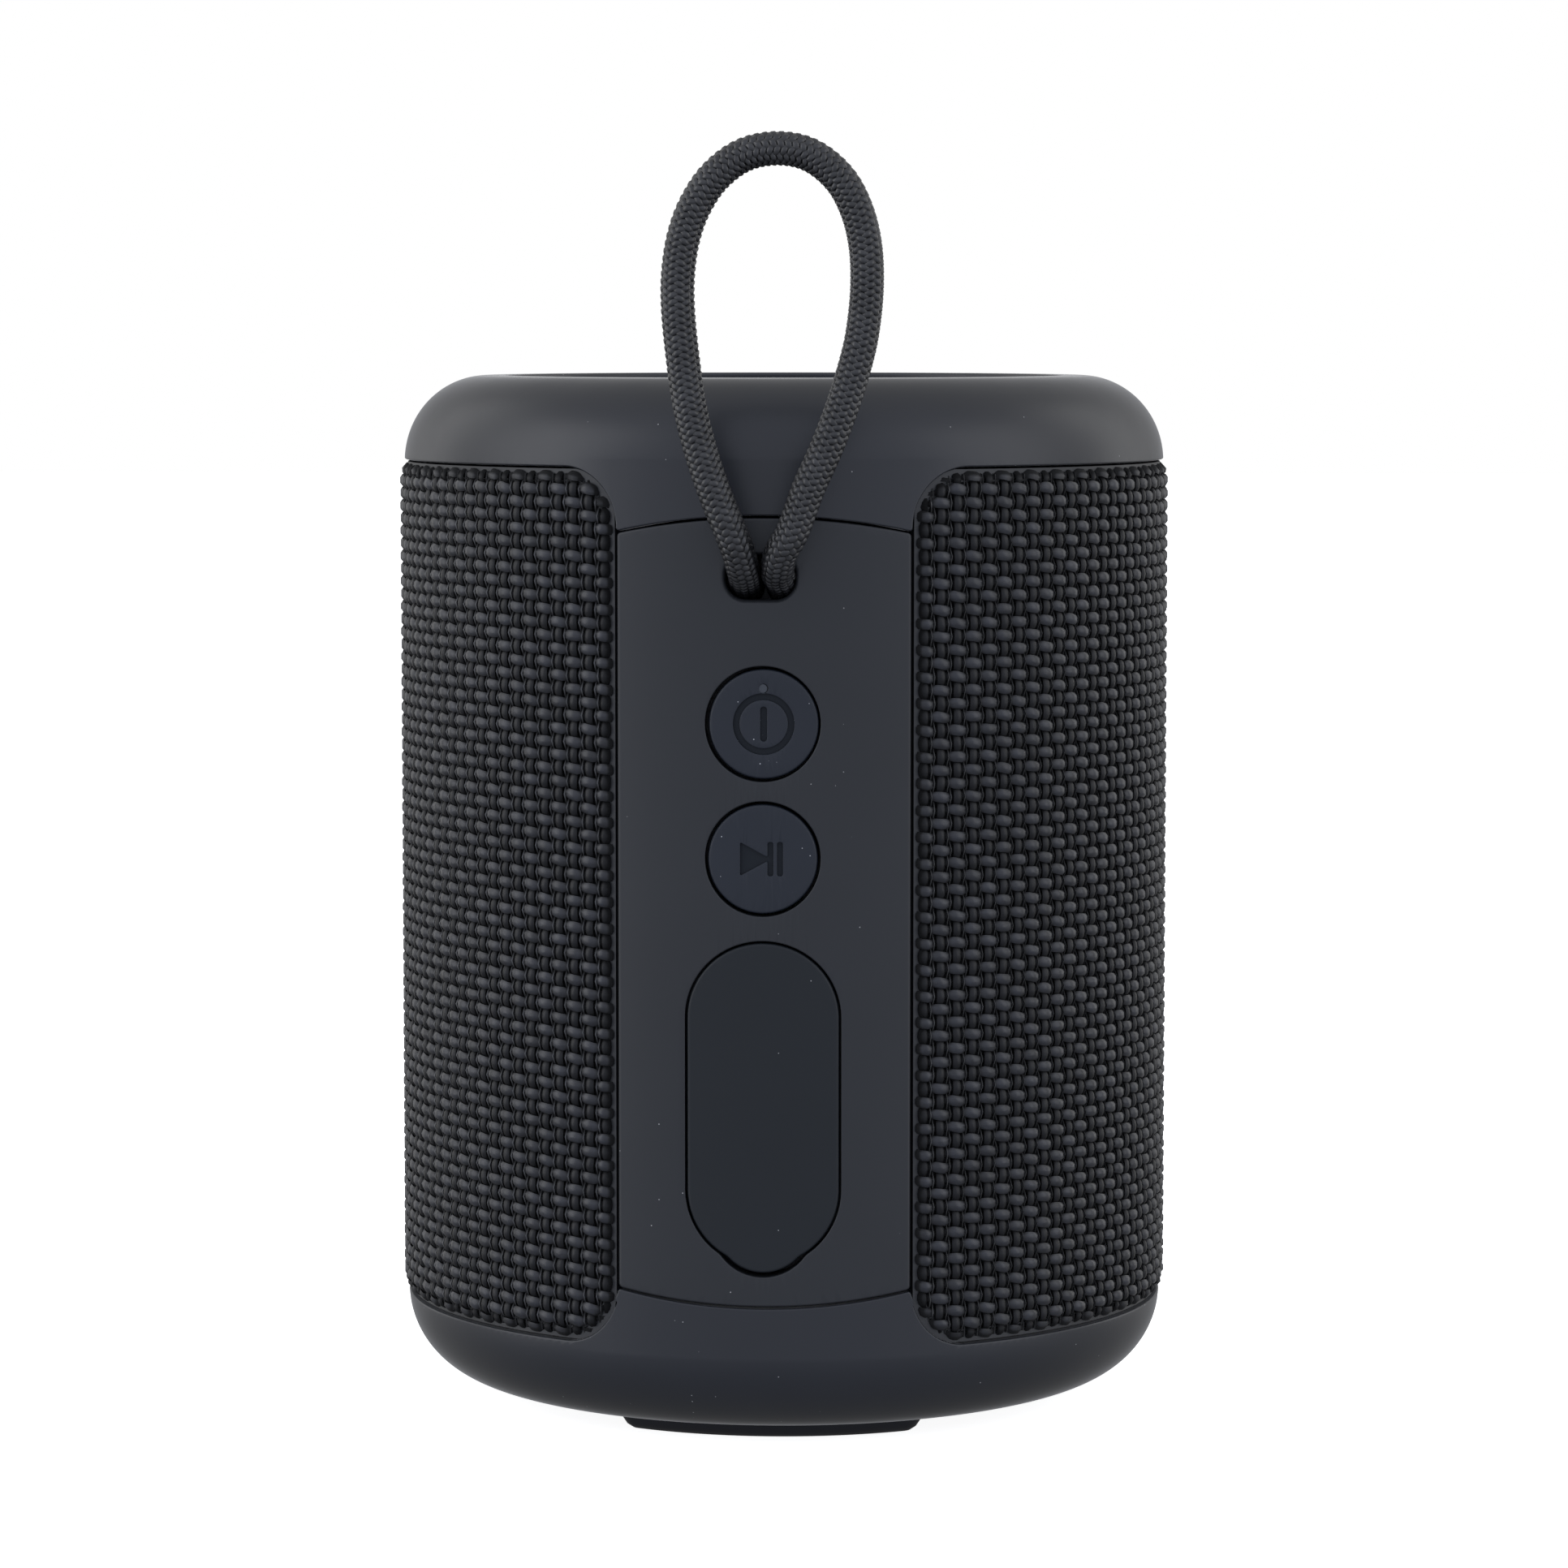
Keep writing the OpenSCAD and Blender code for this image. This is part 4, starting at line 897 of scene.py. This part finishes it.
def flatYarn(bm, uvLayer, run, sides, across, wave, half, swell, thick, upright):
    # one yarn on the flat: a grid rolled into a flattened tube that rises and falls
    length, segments = run["length"], run["segments"]
    made = bmesh.ops.create_grid(bm, x_segments=segments, y_segments=sides, size=0.5)["verts"]
    for face in {f for v in made for f in v.link_faces}:
        for loop in face.loops:
            loop[uvLayer].uv = ((loop.vert.co.x + 0.5) * length + across * 3.7, loop.vert.co.y + 0.5)
    for v in made:
        u = v.co.x * length
        a = (v.co.y + 0.5) * 2 * math.pi
        high, rise, lean = wave((u - run["first"]) / run["pitch"])
        side = across + (half + swell * rise) * math.cos(a)      # swells where it lies on top
        lift = high * rise + thick * math.sin(a)
        v.co = (side, lift, u) if upright else (u, lift, side - weaveSet["tilt"] * lean)
    bmesh.ops.remove_doubles(bm, verts=made, dist=0.001)


def weavePiece(name, material, yarns):
    bm = bmesh.new()
    uvLayer = bm.loops.layers.uv.new("yarn")
    for yarn in yarns:
        flatYarn(bm, uvLayer, **yarn)
    co = np.array([v.co for v in bm.verts])
    placed, hidden = rollCloth(co)
    gone = []
    for v, p, out in zip(bm.verts, placed, hidden):
        v.co = p
        if out:
            gone.append(v)
    bmesh.ops.delete(bm, geom=gone, context="VERTS")
    loose = [v for v in bm.verts if not v.link_faces]
    bmesh.ops.delete(bm, geom=loose, context="VERTS")
    bmesh.ops.holes_fill(bm, edges=[e for e in bm.edges if e.is_boundary], sides=8)
    bmesh.ops.recalc_face_normals(bm, faces=bm.faces)
    return finishPiece(name, bm, [finish[material]], "root", sharp=85, even=False)


def squareWave(turns):                             # rises and falls steeply, with a rounded top
    c = math.cos(math.pi * turns)
    return c * (1.5 - 0.5 * c * c)


def yarnRun(half, pitch, count, perStep):          # one yarn's length, and where its crossings lie
    extra = weaveSet["slack"]
    return {"length": 2 * half + extra * pitch, "segments": (count + extra) * perStep,
            "first": -(count - 1) / 2 * pitch, "pitch": pitch}


# A wave takes the crossings passed, and gives the yarn's height, its rise from -1 to 1, and its lean.
def weftWave(row):
    return lambda at: (weftSet["wave"], squareWave(at + row), math.sin(math.pi * (at + row)))


def warpWave(column):
    return lambda at: (warpSet["wave"], -squareWave(at + column), 0)


def threadWave(column, side):
    return lambda at: (threadSet["wave"], side * math.cos(math.pi * (at + column)), 0)


def weftYarns(rows):
    w, y = weaveSet, weftSet
    run = yarnRun(clothHalf, columnPitch, w["columns"], y["perColumn"])
    return [dict(run=run, sides=w["sides"], across=(j - (w["rows"] - 1) / 2) * rowPitch, wave=weftWave(j),
                 half=y["half"], swell=y["swell"], thick=y["thick"], upright=False) for j in rows]


def warpYarns(columns):
    w, y = weaveSet, warpSet
    run = yarnRun(clothTall, rowPitch, w["rows"], y["perRow"])
    return [dict(run=run, sides=w["sides"], across=(i - (w["columns"] - 1) / 2) * columnPitch,
                 wave=warpWave(i), half=y["half"], swell=y["swell"], thick=y["thick"], upright=True)
            for i in columns]


def threads(columns):
    w, y = weaveSet, threadSet
    run = yarnRun(clothTall, rowPitch, w["rows"], y["perRow"])
    return [dict(run=run, sides=y["sides"],
                 across=(i - w["columns"] / 2 + 1) * columnPitch + side * y["apart"],
                 wave=threadWave(i, side), half=y["r"], swell=0, thick=y["r"], upright=True)
            for i in columns for side in (-1, 1)]


def makeLining():
    # plain closed sheet behind the weave, stretched over the grille; the warp finish's painted depth shade
    # makes it near black
    y = liningSet
    bm = bmesh.new()
    bmesh.ops.create_grid(bm, x_segments=y["along"], y_segments=y["up"], size=0.5)
    for v in bm.verts:
        v.co = (v.co.x * (2 * clothHalf + y["past"]), y["behind"], v.co.y * (2 * clothTall + y["past"]))
    co = np.array([v.co for v in bm.verts])
    for v, p in zip(bm.verts, rollCloth(co)[0]):
        v.co = p
    bmesh.ops.recalc_face_normals(bm, faces=bm.faces)
    bmesh.ops.solidify(bm, geom=bm.faces[:], thickness=y["thick"])
    bmesh.ops.recalc_face_normals(bm, faces=bm.faces)
    return finishPiece("grilleLining", bm, [finish["warp"]], "root", ["grille_fabric"],
                       even=False)


def makeFabric():
    w = weaveSet
    third, columns = w["rows"] // 3, w["columns"] // 2
    pieces = [weavePiece("weftLower", "weft", weftYarns(range(third))),
              weavePiece("weftMiddle", "weft", weftYarns(range(third, 2 * third))),
              weavePiece("weftUpper", "weft", weftYarns(range(2 * third, w["rows"]))),
              weavePiece("warpLeft", "warp", warpYarns(range(columns))),
              weavePiece("warpRight", "warp", warpYarns(range(columns, w["columns"]))),
              weavePiece("bindingThreads", "thread", threads(range(w["columns"] - 1)))]
    lining = makeLining()


makeFabric()
print("fabric woven")

# Materials of the inside


plainSet = {"cloudScale": 150, "varied": 0.15, "shinier": 0.06, "duller": 0.08, "grainScale": 900,
            "grain": 0.15, "grainDeep": 0.00003}


def plainFinish(name, colour, roughness, metal=0.0):
    p = plainSet
    material, nodes, links, shader = newMaterial(name)
    place = objectPlace(nodes)
    cloud = noise(nodes, links, place, p["cloudScale"], 4, 0.6)
    darker = tuple(c * (1 - p["varied"]) for c in colour)
    paler = tuple(min(1, c * (1 + p["varied"])) for c in colour)
    links.new(blendColour(nodes, links, cloud, darker, paler), shader.inputs["Base Color"])
    gloss = spread(nodes, links, cloud, roughness - p["shinier"], roughness + p["duller"])
    links.new(gloss, shader.inputs["Roughness"])
    shader.inputs["Metallic"].default_value = metal
    fine = noise(nodes, links, place, p["grainScale"], 3)
    links.new(bump(nodes, links, fine, p["grain"], p["grainDeep"]), shader.inputs["Normal"])
    return material


insides = {
    "inner_plastic": ("innerPlastic", (0.016, 0.017, 0.019), 0.5),
    "light_guide": ("lightGuide", (0.034, 0.04, 0.05), 0.55),
    "switch_plastic": ("switchPlastic", (0.03, 0.031, 0.034), 0.4),
    "plunger_plastic": ("plungerPlastic", (0.45, 0.38, 0.28), 0.4),
    "steel": ("platedSteel", (0.52, 0.53, 0.55), 0.3, 1.0),
    "ferrite": ("ferrite", (0.03, 0.03, 0.032), 0.6),
    "copper_coil": ("copperCoil", (0.55, 0.24, 0.1), 0.3, 1.0),
    "spider_cloth": ("spiderCloth", (0.4, 0.22, 0.08), 0.8),
    "cone_paper": ("coneFinish", (0.02, 0.021, 0.023), 0.6),
    "soft_rubber": ("softRubber", (0.011, 0.011, 0.012), 0.55),
    "radiator_plastic": ("radiatorPlastic", (0.04, 0.042, 0.045), 0.45),
    "wire_sleeve": ("wireSleeve", (0.3, 0.02, 0.02), 0.35),
    "cell_wrap": ("cellWrap", (0.03, 0.14, 0.38), 0.3),
    "board_green": ("boardGreen", (0.01, 0.09, 0.04), 0.32),
    "shield_can": ("shieldCan", (0.6, 0.61, 0.63), 0.32, 1.0),
}


def dressInside():
    made = {slot: plainFinish(*values) for slot, values in insides.items()}
    for part in frame["record"]["subparts"]:
        cadNode = frame["nodes"][part["node"]]
        material = made.get(part["material_slot"])
        if material is None:
            continue
        cadNode.data.materials.clear()
        cadNode.data.materials.append(material)


dressInside()
print("inside dressed")

# Floor, light and air

stageSet = {"floor": 0.8, "glow": 0.9, "size": 8.0, "roughness": 0.9, "specular": 0.1}
lampsAim = (0, 0, 0.07)
lampsSet = [  # name, place, size, watts
    ("leftBox", (-1.0, -0.3, 0.35), (0.8, 1.2), 4.7),
    ("rightBox", (1.0, -0.35, 0.35), (0.7, 1.2), 2.7),
    ("leftEdge", (-0.7, 0.45, 0.3), (0.35, 0.9), 0.8),
    ("rightEdge", (0.7, 0.45, 0.3), (0.35, 0.9), 1.0),
]


def makeStage():
    bm = bmesh.new()
    bmesh.ops.create_grid(bm, x_segments=2, y_segments=2, size=stageSet["size"] / 2)
    mesh = bpy.data.meshes.new("floor")
    bm.to_mesh(mesh)
    bm.free()
    floor = bpy.data.objects.new("floor", mesh)
    scene.collection.objects.link(floor)
    material, nodes, links, shader = newMaterial("paleFloor")
    shader.inputs["Base Color"].default_value = (*[stageSet["floor"]] * 3, 1)
    shader.inputs["Roughness"].default_value = stageSet["roughness"]
    shader.inputs["Specular IOR Level"].default_value = stageSet["specular"]
    shader.inputs["Emission Color"].default_value = (1, 1, 1, 1)
    shader.inputs["Emission Strength"].default_value = stageSet["glow"]
    mesh.materials.append(material)
    floor.visible_diffuse = False                  # the floor is seen, but it throws no light up
    floor.visible_glossy = False


def makeLamps():
    for name, place, size, watts in lampsSet:
        data = bpy.data.lights.new(name, "AREA")
        data.shape = "RECTANGLE"
        data.size, data.size_y = size
        data.energy = watts
        lamp = bpy.data.objects.new(name, data)
        lamp.location = place
        lamp.rotation_euler = (Vector(lampsAim) - lamp.location).to_track_quat("-Z", "Y").to_euler()
        scene.collection.objects.link(lamp)


airSet = {"front": 0.9, "side": 0.55, "below": 0.45, "seen": 1.0, "turn": (-0.45, 0.5), "rise": (-0.7, 0.1),
          "frontTint": (0.93, 0.98, 1.13), "sideTint": (1, 1, 1), "seenTint": (1.0, 1.0, 1.0)}


def makeAir():
    # soft studio air, a little cooler on the camera's side, with a backdrop that looks plain white
    a = airSet
    world = bpy.data.worlds.new("studio")
    scene.world = world
    world.use_nodes = True
    nodes, links = world.node_tree.nodes, world.node_tree.links
    background = nodes["Background"]
    parts = axesOf(nodes, links, nodes.new("ShaderNodeTexCoord").outputs["Generated"])
    across = spread(nodes, links, parts["Y"], a["front"], a["side"], *a["turn"])
    upward = spread(nodes, links, parts["Z"], a["below"], 1, *a["rise"])
    seenHere = nodes.new("ShaderNodeLightPath").outputs["Is Camera Ray"]
    strength = nodes.new("ShaderNodeMix")
    links.new(seenHere, strength.inputs["Factor"])
    links.new(maths(nodes, links, "MULTIPLY", across, upward), strength.inputs["A"])
    strength.inputs["B"].default_value = a["seen"]
    links.new(strength.outputs["Result"], background.inputs["Strength"])
    back = spread(nodes, links, parts["Y"], 0, 1, *a["turn"])
    tint = blendColour(nodes, links, back, a["frontTint"], a["sideTint"])
    links.new(blendColour(nodes, links, seenHere, tint, a["seenTint"]), background.inputs["Color"])


makeStage()
makeLamps()
makeAir()
scene.view_settings.view_transform = "Standard"
print("stage lit")
